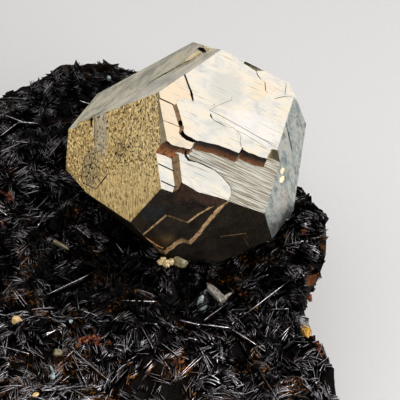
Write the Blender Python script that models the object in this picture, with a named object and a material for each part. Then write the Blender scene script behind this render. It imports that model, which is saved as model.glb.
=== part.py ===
"""A pyritohedral pyrite crystal grown on a broken slab of bladed hematite.

Lengths are in metres. +Z is up, and the slab rests on the flat underside at Z = 0.
"""
import math
import random

import bmesh
import bpy
from mathutils import Euler, Matrix, Vector, noise

MM = 0.001
GAP = 0.3 * MM                      # clearance kept between neighbouring pieces

# ---- pyrite crystal ----------------------------------------------------------------------
CRYSTAL_CENTRE = Vector((12.0, 10.0, 22.5)) * MM
CRYSTAL_TURN = Euler((math.radians(63.7), math.radians(38.1), math.radians(143.8)), "XYZ")
BLANK_SIDE = 60 * MM                # cube the crystal is cut from

# A pyritohedron has twelve {210} faces. Each entry holds the Miller indices, the axis of the
# face's long edge, its distance from the centre in mm and its growth tilt in degrees.
FACES = {
    "left": ((0, 2, -1), "x", 11.4, (0.4, -1.0)),
    "bright": ((-2, 1, 0), "z", 10.4, (3.4, -1.8)),
    "crown": ((0, 2, 1), "x", 10.6, (1.3, 0.9)),
    "right": ((-2, -1, 0), "z", 13.2, (1.1, 0.7)),
    "lower": ((-1, 0, -2), "y", 12.7, (-2.3, 3.8)),
    "back_right": ((-1, 0, 2), "y", 12.86, (0.6, 9.3)),
    "foot_left": ((1, 0, -2), "y", 10.7, (-1.6, 0.4)),
    "far_left": ((2, 1, 0), "z", 13.6, (-1.5, -2.9)),
    "foot_right": ((0, -2, -1), "x", 9.96, (-2.2, 0.5)),
    "behind_right": ((0, -2, 1), "x", 7.36, (6.1, 1.0)),
    "behind": ((1, 0, 2), "y", 11.1, (4.5, 1.0)),
    "foot": ((2, -1, 0), "z", 11.0, (0.0, 0.0)),
}
# The far part of the crown face has grown at a slightly different tilt.
VICINAL = {"crown_far": ((0, 2, 1), "x", 10.43, (-5.7, -3.0))}
AXES = {"x": Vector((1, 0, 0)), "y": Vector((0, 1, 0)), "z": Vector((0, 0, 1))}

# Small faces that truncate corners and one worn edge: direction and distance in mm.
CORNERS = {
    "right_corner": ((-3, -2, 3), 13.9),
    "foot_corner": ((-1, -2, -1), 14.0),
    "worn_edge": ((-3.7, 8.4, -3.9), 13.4),
    "left_corner": ((6.4, -0.4, -7.6), 10.3),
}

# Growth layers stand above the face planes by these heights in mm.
LAYERS = {"bright": 1.92, "crown": 1.6, "crown_far": 1.6, "lower": 0.54}

# Each step lowers a region of a face to a new level (mm above the face plane). The outline is
# given in the face's own frame: u along the striae, v along the long edge, in mm. The lean is
# how far the walls run sideways for each mm they go down: they follow the neighbouring faces.
UPRIGHT = (0.0, 0.0)
FAR = 16                            # past the edge of any face, in mm
ABOVE = 4.0                         # height of the cutting solids above the layer, in mm
STEPS = [
    ("bright", 1.68, UPRIGHT, [
        (-7.0, 4.9), (-6.19, 3.5), (-5.37, 2.5), (-4.76, 1.85), (-4.23, 0.99), (-4.1, 0.7),
        (-4.9, 0.62), (-5.8, 0.12), (-6.0, -0.7), (-6.4, -1.0), (-FAR, -1.0), (-FAR, 4.9)]),
    ("bright", 1.55, (-1.0, -0.45), [
        (-FAR, -0.45), (-6.1, -0.45), (-5.85, -0.5), (-5.3, -1.17), (-4.54, -2.25),
        (-4.09, -2.84), (-3.98, -3.43), (-3.61, -3.65), (-1.95, -3.7), (-1.9, -8.0),
        (-FAR, -8.0)]),
    ("bright", 1.74, UPRIGHT, [
        (-0.4, 7.95), (0.61, 7.9), (1.58, 7.7), (1.88, 7.37), (2.96, 6.91), (3.34, 6.02),
        (3.96, 5.75), (4.72, 5.55), (5.87, 6.46), (6.8, 6.92), (FAR, 6.9), (FAR, FAR),
        (-0.4, FAR)]),
    ("bright", 0.9, UPRIGHT, [
        (5.72, FAR), (6.0, 6.95), (6.62, 6.85), (FAR, 6.4), (FAR, FAR)]),
    ("bright", 0.62, (0.15, -0.46), [
        (-2.53, -4.61), (-1.92, -3.57), (0.03, -3.15), (2.88, -2.91), (3.12, -2.28),
        (4.54, -2.24), (6.22, -2.06), (6.3, -0.73), (6.84, -0.54), (FAR, -0.5), (FAR, -18),
        (3.6, -18), (3.77, -7.31), (3.67, -6.72), (3.41, -6.05), (2.13, -5.39), (1.1, -5.0),
        (-1.28, -5.04), (-2.1, -5.13)]),
    ("bright", 0.78, (0.0, -0.5), [
        (-FAR, -5.4), (-4.2, -5.4), (-3.6, -4.97), (-2.27, -4.59), (-2.09, -4.17),
        (-2.17, -3.7), (-1.6, -3.75), (-1.2, -3.9), (3.0, -3.4), (6.5, -2.9), (FAR, -2.5),
        (FAR, -18), (-FAR, -18)]),
    ("bright", 0.0, (-0.65, -0.66), [
        (-FAR, -4.5), (-5.6, -4.7), (-4.45, -5.07), (-2.66, -4.93), (-2.14, -5.96),
        (-1.3, -7.62), (-1.15, -8.1), (-0.9, -18), (-FAR, -18)]),
    ("bright", -2.5, (0.0, -0.9), [
        (-1.95, -7.7), (0.39, -8.0), (1.79, -7.72), (3.86, -7.44), (4.2, -18), (-2.0, -18)]),
    ("crown_far", 0.0, UPRIGHT, [
        (12.0, -8.0), (8.0, -6.6), (5.34, -5.2), (3.66, -4.35), (3.51, -3.41), (1.58, -1.41),
        (-0.94, 1.13), (-2.84, 3.67), (-4.28, 5.91), (-6.3, 9.4), (-8.5, 13.2), (-8.5, 20),
        (20, 20), (20, -10), (12, -10)]),
    ("crown", 0.0, UPRIGHT, [
        (12.3, -7.8), (8.2, -6.4), (5.59, -5.0), (3.91, -4.2), (3.76, -3.26), (1.83, -1.26),
        (-0.69, 1.28), (-2.59, 3.82), (-4.03, 6.06), (-6.05, 9.55), (-8.2, 13.3), (-8.2, 20),
        (-20, 20), (-20, -20), (12.3, -20)]),
    ("lower", 0.0, (-1.2, -1.6), [
        (FAR, 1.2), (6.9, 0.62), (6.26, 0.47), (3.32, -0.23), (0.3, -0.98), (-0.45, -1.06),
        (-0.82, -0.23), (-1.35, -0.09), (-3.78, -0.21), (-3.96, 0.54), (-4.18, 3.22),
        (-3.81, 5.14), (-3.6, 6.6), (-FAR, 7.0), (-FAR, -FAR), (FAR, -FAR)]),
]

# Growth sutures: open grooves along the striae, from one point to another on a face.
GROOVE_WIDE = 0.35 * MM
GROOVE_DEEP = 0.4 * MM
GROOVES = [
    ("bright", 0.0, (-6.8, -7.4), (-3.0, -7.5)),
    ("bright", 0.0, (-5.6, -9.3), (-2.1, -9.4)),
    ("right", 0.0, (-5.3, 2.7), (-1.6, 1.0)),
]

# ---- hematite slab -----------------------------------------------------------------------
# The broken outline seen from above: direction in degrees from +X and reach in mm.
OUTLINE = [
    (3, 27.8), (9, 28.0), (12, 26.4), (20, 27.0), (23, 26.2), (31, 27.4), (44, 31.5),
    (57, 33.3), (69, 34.2), (82, 34.4), (93, 33.8), (98, 32.5), (104, 31.2), (110, 30.4),
    (122, 31.0), (134, 33.0), (146, 31.8), (158, 29.5), (172, 28.3), (184, 28.0),
    (196, 29.6), (212, 33.0), (225, 36.5), (236, 36.8), (250, 34.8), (262, 33.0),
    (276, 34.0), (290, 35.6), (302, 38.0), (311, 39.4), (318, 37.6), (324, 33.6),
    (331, 28.7), (336, 26.6), (347, 25.9), (350, 27.2), (356, 27.7),
]
SLAB_TOP = 17.4                     # mean height of the upper surface in mm
GRID = (22, 24)                     # cells across and along the upper surface
# The broken sides, ring by ring: share of the height that is left, and reach of the outline.
WALL = [(0.72, 0.985), (0.45, 0.955), (0.2, 0.95), (0.0, 0.90)]
WALL_ROUGH = 0.055                  # how far the sides wander, as a share of the reach
HEDGE_SEED = 5
SHEAVES = 68                        # fans of blades on the upper surface
SHEAF_ROOM = 3.7 * MM               # least distance between two fans
SHEAF_TRIES = 4000
SHEAF_BLADES = 4
BLADE = (4.8 * MM, 2.8 * MM, 0.7 * MM)   # length, width and thickness at the root
BLADE_ROOT = 0.3                    # share of a blade's length inside the rock
BLADE_TIP_WIDTH = 0.6               # width at the tip, as a share of the width at the root
SHEAF_SINK = 0.4                    # how far a fan's root lies under the surface, in mm
SHEAF_OPENING = 0.5                 # turn from one blade of a fan to the next, in radians
SHEAF_SPREAD = 0.93                 # share of the slab's area that fans may stand on
CRYSTAL_ROOM = 12.5 * MM            # no fan is rooted nearer to the crystal's axis

# ---- small crystals ------------------------------------------------------------------------
# Place in mm (the last number is above the slab's surface), length and width in mm, lean in
# degrees. Crystals of one name have grown together.
QUARTZ = {
    "quartz_front": [((8.9, -4.6, 0.4), 2.4, 1.7, (38, -12, 20)),
                     ((10.4, -4.3, 0.3), 2.3, 1.6, (25, 30, 0))],
    "quartz_amber": [((24.5, -13.4, 0.4), 3.9, 1.5, (-84, 0, 195))],
    "quartz_cream": [((-7.75, -15.1, 0.4), 1.7, 1.4, (50, 60, 10))],
    "quartz_grey": [((14.9, -9.2, 0.4), 3.4, 1.3, (-82, 0, 39))],
}
PRISM_SHAFT = 0.7                   # share of a crystal's length below its pointed end
PRISM_ROOT = 0.35                   # share of its length below its place on the surface


def material(name, colour, rough, metallic):
    """A Principled material for one mineral."""
    mat = bpy.data.materials.new(name)
    mat.use_nodes = True
    shader = mat.node_tree.nodes["Principled BSDF"]
    shader.inputs["Base Color"].default_value = (*colour, 1)
    shader.inputs["Roughness"].default_value = rough
    shader.inputs["Metallic"].default_value = metallic
    mat.diffuse_color = (*colour, 1)
    return mat


def new_object(name, bm, collection, mat=None, matrix=None):
    """Close a bmesh into a named object."""
    bmesh.ops.recalc_face_normals(bm, faces=bm.faces[:])
    mesh = bpy.data.meshes.new(name)
    bm.to_mesh(mesh)
    bm.free()
    if mat:
        mesh.materials.append(mat)
    obj = bpy.data.objects.new(name, mesh)
    if matrix:
        obj.matrix_world = matrix
    collection.objects.link(obj)
    return obj


def as_cutter(obj):
    """Hide a construction solid from renders."""
    obj.hide_render = True
    obj.display_type = "WIRE"
    return obj


def boolean(target, cutter, operation, self_crossing=False):
    """Apply one exact Boolean and keep the result as the target's mesh."""
    mod = target.modifiers.new(operation.lower(), "BOOLEAN")
    mod.operation = operation
    mod.solver = "EXACT"
    mod.use_self = self_crossing
    mod.object = cutter
    bpy.context.view_layer.update()
    depsgraph = bpy.context.evaluated_depsgraph_get()
    mesh = bpy.data.meshes.new_from_object(target.evaluated_get(depsgraph))
    target.modifiers.clear()
    old = target.data
    target.data = mesh
    bpy.data.meshes.remove(old)


def slice_off(bm, normal, distance):
    """Cut a convex blank with a plane, drop what lies outside it and close the cut."""
    cut = bmesh.ops.bisect_plane(bm, geom=bm.verts[:] + bm.edges[:] + bm.faces[:], dist=1e-9,
                                 plane_co=normal * distance, plane_no=normal, clear_outer=True)
    rim = [item for item in cut["geom_cut"] if isinstance(item, bmesh.types.BMEdge)]
    if rim:
        bmesh.ops.contextual_create(bm, geom=rim)


def face_frame(name):
    """The (u, v, normal) directions of a crystal face, in the crystal's axes."""
    miller, axis, _, tilt = FACES.get(name) or VICINAL[name]
    normal = Vector(miller).normalized()
    along = AXES[axis]
    across = along.cross(normal)
    normal = normal + across * math.tan(math.radians(tilt[0]))
    normal = (normal + along * math.tan(math.radians(tilt[1]))).normalized()
    across = (across - normal * across.dot(normal)).normalized()
    return across, normal.cross(across), normal


def face_matrix(name, level):
    """Places face-frame coordinates in the crystal, at a level in mm above the face plane."""
    across, along, normal = face_frame(name)
    matrix = Matrix((across, along, normal)).transposed().to_4x4()
    distance = (FACES.get(name) or VICINAL[name])[2]
    matrix.translation = normal * (distance + level) * MM
    return matrix


def pyritohedron(extra):
    """The faceted form; extra moves every face out, and layers add to the stepped faces."""
    bm = bmesh.new()
    bmesh.ops.create_cube(bm, size=BLANK_SIDE)
    for name, (_, _, distance, _) in FACES.items():
        reach = (distance + LAYERS.get(name, 0.0)) * MM + extra
        slice_off(bm, face_frame(name)[2], reach)
    for direction, distance in CORNERS.values():
        slice_off(bm, Vector(direction).normalized(), distance * MM + extra)
    return bm


def outline_solid(points, low, high, lean, collection):
    """A closed outline drawn as a 2D curve, extruded between two levels and leaned over."""
    curve = bpy.data.curves.new("outline", "CURVE")
    curve.dimensions = "2D"
    curve.fill_mode = "BOTH"
    curve.extrude = (high - low) * MM / 2
    spline = curve.splines.new("POLY")
    spline.points.add(len(points) - 1)
    for point, (u, v) in zip(spline.points, points):
        point.co = (u * MM, v * MM, 0, 1)
    spline.use_cyclic_u = True
    drawn = bpy.data.objects.new("outline", curve)
    collection.objects.link(drawn)
    bpy.context.view_layer.update()
    depsgraph = bpy.context.evaluated_depsgraph_get()
    mesh = bpy.data.meshes.new_from_object(drawn.evaluated_get(depsgraph))
    bpy.data.objects.remove(drawn)
    bm = bmesh.new()
    bm.from_mesh(mesh)
    bpy.data.meshes.remove(mesh)
    bmesh.ops.remove_doubles(bm, verts=bm.verts[:], dist=1e-7)
    middle = (low + high) / 2 * MM
    for vert in bm.verts:
        vert.co.z += middle
        vert.co.x -= lean[0] * vert.co.z
        vert.co.y -= lean[1] * vert.co.z
    return bm


def crystal_matrix():
    """Where the crystal sits in the specimen."""
    return Matrix.Translation(CRYSTAL_CENTRE) @ CRYSTAL_TURN.to_matrix().to_4x4()


def build_crystal(parts, tools, mat):
    """The pyrite crystal with its growth layers, ledges and sutures."""
    place = crystal_matrix()
    crystal = new_object("pyrite_crystal", pyritohedron(0.0), parts, mat, place)
    for face, level, lean, points in STEPS:
        top = LAYERS[face]
        # the outline is true at the layer's top, so the solid is drawn from there
        bm = outline_solid(points, level - top, ABOVE, lean, tools)
        cutter = as_cutter(new_object("step", bm, tools, None, place @ face_matrix(face, top)))
        boolean(crystal, cutter, "DIFFERENCE")
    for face, level, start, end in GROOVES:
        bm = bmesh.new()
        bmesh.ops.create_cube(bm, size=1.0)
        run = (Vector(end) - Vector(start)) * MM
        turn = Matrix.Rotation(math.atan2(run.y, run.x), 4, "Z")
        middle = (Vector(start) + Vector(end)) / 2 * MM
        size = Matrix.Diagonal((run.length, GROOVE_WIDE, 2 * GROOVE_DEEP, 1))
        bm.transform(Matrix.Translation((middle.x, middle.y, 0)) @ turn @ size)
        matrix = place @ face_matrix(face, level)
        cutter = as_cutter(new_object("suture", bm, tools, None, matrix))
        boolean(crystal, cutter, "DIFFERENCE")
    return crystal


def outline_reach(angle):
    """How far the slab reaches from its middle in a direction, in metres."""
    turn = math.degrees(angle) % 360
    ring = OUTLINE + [(OUTLINE[0][0] + 360, OUTLINE[0][1])]
    for (a0, r0), (a1, r1) in zip(ring, ring[1:]):
        if a0 <= turn <= a1:
            return (r0 + (r1 - r0) * (turn - a0) / (a1 - a0)) * MM
    return OUTLINE[0][1] * MM


def bump(x, y, at, radius, height):
    """A smooth mound of given height at a place."""
    square = ((x - at[0]) ** 2 + (y - at[1]) ** 2) / radius ** 2
    return height * math.exp(-square)


def slab_height(x, y):
    """Height of the upper surface in mm at a place in mm."""
    height = SLAB_TOP
    height += bump(x, y, (-3, 31), 9, 2.2)          # rim at the far edge
    height += bump(x, y, (26, 1), 4, 1.4)           # knob beside the crystal
    height += bump(x, y, (-9, 8), 9, -1.6)          # hollow left of the crystal
    height += bump(x, y, (-3, -15), 8, 1.2)         # mound on the near side
    height -= 0.002 * max(0.0, -y - 8) ** 2         # the near side falls away
    height += 2.2 * noise.noise(Vector((x * 0.09, y * 0.09, 3.0)))
    height += 1.6 * noise.noise(Vector((x * 0.21, y * 0.21, 9.0)))
    return height


def side_point(angle, level, share):
    """A point of the broken side: its direction, share of the rim's height and of its reach."""
    reach = outline_reach(angle)
    x, y = math.cos(angle) * reach, math.sin(angle) * reach
    height = slab_height(x / MM, y / MM) * MM * level
    spot = Vector((x, y, height))
    share += WALL_ROUGH * (noise.noise(spot * 130) + 0.7 * noise.noise(spot * 330))
    return Vector((x * share, y * share, height))


def slab_blank():
    """The rock: a grid wrapped to the broken outline, with rough sides and a flat underside."""
    bm = bmesh.new()
    bmesh.ops.create_grid(bm, x_segments=GRID[0], y_segments=GRID[1], size=1.0)
    rim = [edge for edge in bm.edges if edge.is_boundary]
    for vert in bm.verts:
        s, t = vert.co.x, vert.co.y
        x = s * math.sqrt(1 - t * t / 2)
        y = t * math.sqrt(1 - s * s / 2)
        reach = outline_reach(math.atan2(y, x))
        vert.co = (x * reach, y * reach, slab_height(x * reach / MM, y * reach / MM) * MM)
    for level, share in WALL:
        grown = bmesh.ops.extrude_edge_only(bm, edges=rim)["geom"]
        rim = [item for item in grown if isinstance(item, bmesh.types.BMEdge)]
        for vert in {vert for edge in rim for vert in edge.verts}:
            vert.co = side_point(math.atan2(vert.co.y, vert.co.x), level, share)
    bmesh.ops.contextual_create(bm, geom=rim)
    return bm


def blade_matrix(root, heading, lean, roll):
    """Stands a blade at its root: heading round Z, lean from upright, roll on its own axis."""
    turn = Matrix.Rotation(heading, 4, "Z") @ Matrix.Rotation(lean, 4, "Y")
    return Matrix.Translation(root) @ turn @ Matrix.Rotation(roll, 4, "Z")


def add_blade(bm, matrix, size):
    """A thin plate that sharpens to an edge, standing on its local XY plane and rooted below."""
    length, width, thick = size
    made = bmesh.ops.create_cube(bm, size=1.0)["verts"]
    tips = [vert for vert in made if vert.co.z > 0]
    for vert in made:
        tip = vert.co.z > 0
        vert.co.x *= 0 if tip else thick
        vert.co.y *= width * (BLADE_TIP_WIDTH if tip else 1.0)
        vert.co.z = length * (1 - BLADE_ROOT if tip else -BLADE_ROOT)
    bmesh.ops.transform(bm, matrix=matrix, verts=made)
    bmesh.ops.remove_doubles(bm, verts=tips, dist=1e-6)


def blade_hedge():
    """Fans of blades all over the slab's upper surface, each opened like a book."""
    rng = random.Random(HEDGE_SEED)
    bm = bmesh.new()
    crystal = Vector((CRYSTAL_CENTRE.x, CRYSTAL_CENTRE.y, 0))
    roots = []
    for _ in range(SHEAF_TRIES):
        angle = rng.uniform(0, 2 * math.pi)
        reach = outline_reach(angle) * math.sqrt(rng.uniform(0.0, SHEAF_SPREAD))
        place = Vector((math.cos(angle) * reach, math.sin(angle) * reach, 0))
        clear = all((place - other).length > SHEAF_ROOM for other in roots)
        if clear and (place - crystal).length > CRYSTAL_ROOM and len(roots) < SHEAVES:
            roots.append(place)
    for place in roots:
        place.z = (slab_height(place.x / MM, place.y / MM) - SHEAF_SINK) * MM
        fan = rng.uniform(0, 2 * math.pi)
        tip = rng.uniform(-0.5, 0.5)
        for blade in range(SHEAF_BLADES):
            spread = (blade - (SHEAF_BLADES - 1) / 2) * SHEAF_OPENING
            lean = spread + tip + rng.uniform(-0.1, 0.1)
            scale = rng.uniform(0.75, 1.15)
            roll = rng.uniform(-0.4, 0.4)
            add_blade(bm, blade_matrix(place, fan, lean, roll), [side * scale for side in BLADE])
    return bm


def keep_main_body(obj):
    """Drop chips that a cut has freed, and keep the largest body."""
    bm = bmesh.new()
    bm.from_mesh(obj.data)
    left = set(bm.faces)
    bodies = []
    while left:
        stack = [left.pop()]
        body = list(stack)
        while stack:
            for edge in stack.pop().edges:
                for face in edge.link_faces:
                    if face in left:
                        left.remove(face)
                        body.append(face)
                        stack.append(face)
        bodies.append(body)
    bodies.sort(key=len)
    for body in bodies[:-1]:
        bmesh.ops.delete(bm, geom=body, context="FACES")
    bm.to_mesh(obj.data)
    bm.free()


def prism(bm, place, length, width, lean, extra):
    """A stubby hexagonal crystal with a pointed end."""
    turn = Euler([math.radians(angle) for angle in lean]).to_matrix().to_4x4()
    side = (width * MM) / 2 + extra
    tall = length * MM + 2 * extra
    foot = -PRISM_ROOT * length * MM - extra
    shaft = PRISM_SHAFT * tall
    x, y, rise = place
    base = Matrix.Translation(Vector((x, y, slab_height(x, y) + rise)) * MM) @ turn
    made = bmesh.ops.create_cone(bm, cap_ends=True, segments=6, radius1=side, radius2=side,
                                 depth=shaft,
                                 matrix=base @ Matrix.Translation((0, 0, foot + shaft / 2)))
    top = max(made["verts"], key=lambda vert: (base.inverted() @ vert.co).z)
    cap = max(top.link_faces, key=lambda face: len(face.verts))
    tip = bmesh.ops.poke(bm, faces=[cap])["verts"][0]
    tip.co += (base.to_3x3() @ Vector((0, 0, tall - shaft)))


def build_quartz(name, crystals, parts, tools, mat):
    """One group of small quartz crystals that have grown together."""
    for index, (place, length, width, lean) in enumerate(crystals):
        bm = bmesh.new()
        prism(bm, place, length, width, lean, 0.0)
        if index == 0:
            group = new_object(name, bm, parts, mat)
        else:
            boolean(group, as_cutter(new_object("twin", bm, tools)), "UNION")


def slab_seats():
    """The room that the pyrite and the quartz crystals take up in the slab."""
    bm = pyritohedron(GAP)
    bm.transform(crystal_matrix())
    for crystals in QUARTZ.values():
        for place, length, width, lean in crystals:
            prism(bm, place, length, width, lean, GAP)
    return bm


def build_slab(parts, tools, mat):
    """The hematite slab: rock, blades, and the seats of the crystals that stand on it."""
    slab = new_object("hematite_matrix", slab_blank(), parts, mat)
    hedge = as_cutter(new_object("hedge", blade_hedge(), tools))
    boolean(slab, hedge, "UNION", self_crossing=True)
    seats = as_cutter(new_object("seats", slab_seats(), tools))
    boolean(slab, seats, "DIFFERENCE", self_crossing=True)
    keep_main_body(slab)


def main():
    for obj in list(bpy.data.objects):
        bpy.data.objects.remove(obj)
    parts = bpy.data.collections.new("pyrite_with_hematite")
    tools = bpy.data.collections.new("cutters")
    bpy.context.scene.collection.children.link(parts)
    bpy.context.scene.collection.children.link(tools)
    pyrite = material("pyrite", (0.50, 0.42, 0.25), 0.25, 1.0)
    hematite = material("hematite", (0.03, 0.025, 0.025), 0.3, 0.8)
    quartz = material("quartz", (0.75, 0.66, 0.50), 0.3, 0.0)
    amber = material("amber_quartz", (0.70, 0.42, 0.12), 0.15, 0.0)
    build_crystal(parts, tools, pyrite)
    build_slab(parts, tools, hematite)
    for name, crystals in QUARTZ.items():
        skin = amber if name == "quartz_amber" else quartz
        build_quartz(name, crystals, parts, tools, skin)


main()
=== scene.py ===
import math
import random

import bmesh
import bpy
import numpy as np
from mathutils import Euler, Matrix, Vector, noise


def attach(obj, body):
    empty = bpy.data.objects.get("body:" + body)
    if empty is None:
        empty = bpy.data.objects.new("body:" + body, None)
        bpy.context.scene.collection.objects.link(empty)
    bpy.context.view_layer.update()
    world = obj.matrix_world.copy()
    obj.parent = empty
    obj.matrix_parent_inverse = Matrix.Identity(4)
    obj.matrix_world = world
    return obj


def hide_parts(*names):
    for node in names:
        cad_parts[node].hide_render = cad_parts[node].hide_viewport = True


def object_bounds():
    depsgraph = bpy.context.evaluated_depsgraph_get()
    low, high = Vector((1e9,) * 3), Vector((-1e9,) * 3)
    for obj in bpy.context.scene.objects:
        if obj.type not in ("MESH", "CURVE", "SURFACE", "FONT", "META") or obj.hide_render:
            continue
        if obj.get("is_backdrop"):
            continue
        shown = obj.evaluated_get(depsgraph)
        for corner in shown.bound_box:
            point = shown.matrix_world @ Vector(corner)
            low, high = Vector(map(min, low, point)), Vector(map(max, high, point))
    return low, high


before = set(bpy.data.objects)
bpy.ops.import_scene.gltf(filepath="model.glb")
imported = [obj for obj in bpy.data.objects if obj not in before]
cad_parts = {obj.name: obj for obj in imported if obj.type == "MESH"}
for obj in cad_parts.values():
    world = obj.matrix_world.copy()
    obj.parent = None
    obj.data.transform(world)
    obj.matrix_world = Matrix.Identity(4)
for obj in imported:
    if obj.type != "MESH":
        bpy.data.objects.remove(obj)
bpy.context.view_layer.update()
scene = bpy.context.scene

# ------------------------------------------------------------
# The studio. The specimen lies on a seamless sheet of pale grey paper in a dim room. One
# large soft box stands high on the right, lit white cards stand on the left, on the right and
# in front, and a white ceiling sends down the rest of the light.
MM = 0.001
CRYSTAL_CENTRE = Vector((12.0, 10.0, 22.5)) * MM
CAMERA_RISE = math.radians(40)  # how steeply the camera looks down
CAMERA_FAR = 266.7 * MM
CAMERA_AIM = CRYSTAL_CENTRE + Vector((0.888, -3.139, -3.741)) * MM  # a little below the crystal
PAPER = "#dddcdb"
PAPER_DARKER = "#d7d6d4"
PAPER_GRAIN = 0.6 * MM  # fibre clumps in the paper
PAPER_HALF = 1.5  # half the sheet's side in metres


def linear(hex_colour):
    """An sRGB hex colour as linear red, green, blue and alpha."""
    parts = [int(hex_colour[i:i + 2], 16) / 255 for i in (1, 3, 5)]
    return [p / 12.92 if p <= 0.04045 else ((p + 0.055) / 1.055) ** 2.4 for p in parts] + [1.0]


def new_material(name, **constants):
    """A node material: its tree and its Principled shader, with constants set on the sockets."""
    mat = bpy.data.materials.new(name)
    mat.use_nodes = True
    shader = mat.node_tree.nodes["Principled BSDF"]
    for key, value in constants.items():
        shader.inputs[key.replace("_", " ")].default_value = value
    return mat, mat.node_tree, shader


def connect(node, links):
    """Give inputs a value, a hex colour, a socket, or another node, which sends its first output."""
    for key, value in links.items():
        if isinstance(value, bpy.types.Node):
            value = next(output for output in value.outputs if output.enabled)
        if isinstance(value, bpy.types.NodeSocket):
            node.id_data.links.new(value, node.inputs[key])
        else:
            node.inputs[key].default_value = linear(value) if isinstance(value, str) else value


def add(tree, kind, links=None, stops=(), **settings):
    """Add a node with its links, its settings and, on a colour ramp, its stops. Inputs known by
    number are: Math, its values; Mix, the share at 0 and the colours at 6 and 7; Map Range, the
    value at 0, the range it comes in at 1 and 2 and the range it goes to at 3 and 4."""
    node = tree.nodes.new("ShaderNode" + kind)
    for key, value in settings.items():
        setattr(node, key, value)
    for place, colour in stops:
        node.color_ramp.elements.new(place).color = linear(colour)
    if stops:
        node.color_ramp.elements.remove(node.color_ramp.elements[0])
        node.color_ramp.elements.remove(node.color_ramp.elements[-1])
    connect(node, links or {})
    return node


def new_object(name, shape, mat):
    """Put an object into the scene, made from a mesh or a bmesh, in one material."""
    mesh = shape
    if isinstance(shape, bmesh.types.BMesh):
        mesh = bpy.data.meshes.new(name)
        shape.to_mesh(mesh)
        shape.free()
    mesh.materials.append(mat)
    item = bpy.data.objects.new(name, mesh)
    scene.collection.objects.link(item)
    return item


def soft_box(name, toward, far, size, power, colour):
    """A rectangular area light that faces the specimen."""
    lamp = bpy.data.lights.new(name, "AREA")
    lamp.shape = "RECTANGLE"
    lamp.size, lamp.size_y = size
    lamp.energy = power
    lamp.color = linear(colour)[:3]
    holder = bpy.data.objects.new(name, lamp)
    direction = Vector(toward).normalized()
    holder.location = CAMERA_AIM + direction * far
    holder.rotation_mode = "QUATERNION"
    holder.rotation_quaternion = direction.to_track_quat("Z", "Y")
    scene.collection.objects.link(holder)


lens = bpy.data.cameras.new("camera")
lens.lens = 200
lens.sensor_width = 36
lens.clip_start = 0.01
camera = bpy.data.objects.new("camera", lens)
back = Vector((0, -math.cos(CAMERA_RISE), math.sin(CAMERA_RISE)))
camera.location = CAMERA_AIM + back * CAMERA_FAR
camera.rotation_euler = (math.pi / 2 - CAMERA_RISE, 0, 0)
scene.collection.objects.link(camera)
scene.camera = camera

# name, direction from the specimen, distance, width and height in metres, power in watts, colour
soft_box("key_softbox", (0.52, -0.04, 0.85), 0.45, (0.32, 0.32), 0.18, "#fff8f2")
soft_box("left_card", (-0.97, 0.24, 0.12), 0.40, (0.30, 0.16), 0.28, "#fff1de")
soft_box("right_card", (0.75, -0.60, 0.30), 0.24, (0.20, 0.12), 0.55, "#ffffff")
soft_box("front_fill", (0.15, -0.75, 0.75), 0.60, (0.30, 0.20), 0.50, "#ffffff")

# the room: its ceiling is bright, and it darkens towards the horizon
scene.view_settings.view_transform = "Standard"
room = bpy.data.worlds.new("room")
room.use_nodes = True
tree = room.node_tree
sky = add(tree, "TexCoord").outputs["Generated"]
height = add(tree, "SeparateXYZ", {0: sky}).outputs["Z"]
glow = add(tree, "MapRange",
           {0: height, 1: 0.25, 2: 0.75, 3: 0.03, 4: 0.95}, interpolation_type="SMOOTHSTEP")
connect(tree.nodes["Background"], {"Strength": glow, "Color": "#fbfbfc"})
scene.world = room

# uncoated paper: matt and even, with faint clumps of fibre
paper, tree, shader = new_material("grey_paper", Roughness=0.9)
place = add(tree, "TexCoord").outputs["Object"]
fibres = add(tree, "TexNoise", {"Vector": place, "Scale": 1 / PAPER_GRAIN})
tone = add(tree, "Mix", {0: fibres, 6: PAPER_DARKER, 7: PAPER}, data_type="RGBA")
connect(shader, {"Base Color": tone})
bm = bmesh.new()
bmesh.ops.create_grid(bm, x_segments=8, y_segments=8, size=PAPER_HALF)
floor = new_object("paper_floor", bm, paper)
floor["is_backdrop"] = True

# ------------------------------------------------------------
# The seat of the pyrite crystal. A pyritohedron has twelve faces, each square to a {210}
# direction of the lattice, and here four small faces cut its corners. The rock and the blades
# of hematite grew round it, so they need to know where it is.
CRYSTAL_TURN = Euler((math.radians(63.7), math.radians(38.1), math.radians(143.8)), "XYZ")
SEAT_GAP = 0.1 * MM

# Miller indices, axis of the long edge, distance from the centre in mm, and the tilt in
# degrees by which a real face differs from the ideal one
FACES = {
    "left": ((0, 2, -1), "x", 11.4, (0.4, -1.0)),
    "bright": ((-2, 1, 0), "z", 10.4, (3.4, -1.8)),
    "crown": ((0, 2, 1), "x", 10.6, (1.3, 0.9)),
    "right": ((-2, -1, 0), "z", 13.2, (1.1, 0.7)),
    "lower": ((-1, 0, -2), "y", 12.7, (-2.3, 3.8)),
    "back_right": ((-1, 0, 2), "y", 12.86, (0.6, 9.3)),
    "foot_left": ((1, 0, -2), "y", 11.66, (0.28, 7.9)),
    "far_left": ((2, 1, 0), "z", 13.6, (-1.5, -2.9)),
    "foot_right": ((0, -2, -1), "x", 9.96, (-2.2, 0.5)),
    "behind_right": ((0, -2, 1), "x", 7.36, (6.1, 1.0)),
    "behind": ((1, 0, 2), "y", 11.1, (4.5, 1.0)),
    "foot": ((2, -1, 0), "z", 11.0, (0.0, 0.0)),
}
# A face that grew almost parallel to the crown, in the same terms
VICINAL = {"crown_far": ((0, 2, 1), "x", 10.43, (-5.7, -3.0))}
AXES = {"x": Vector((1, 0, 0)), "y": Vector((0, 1, 0)), "z": Vector((0, 0, 1))}
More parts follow.
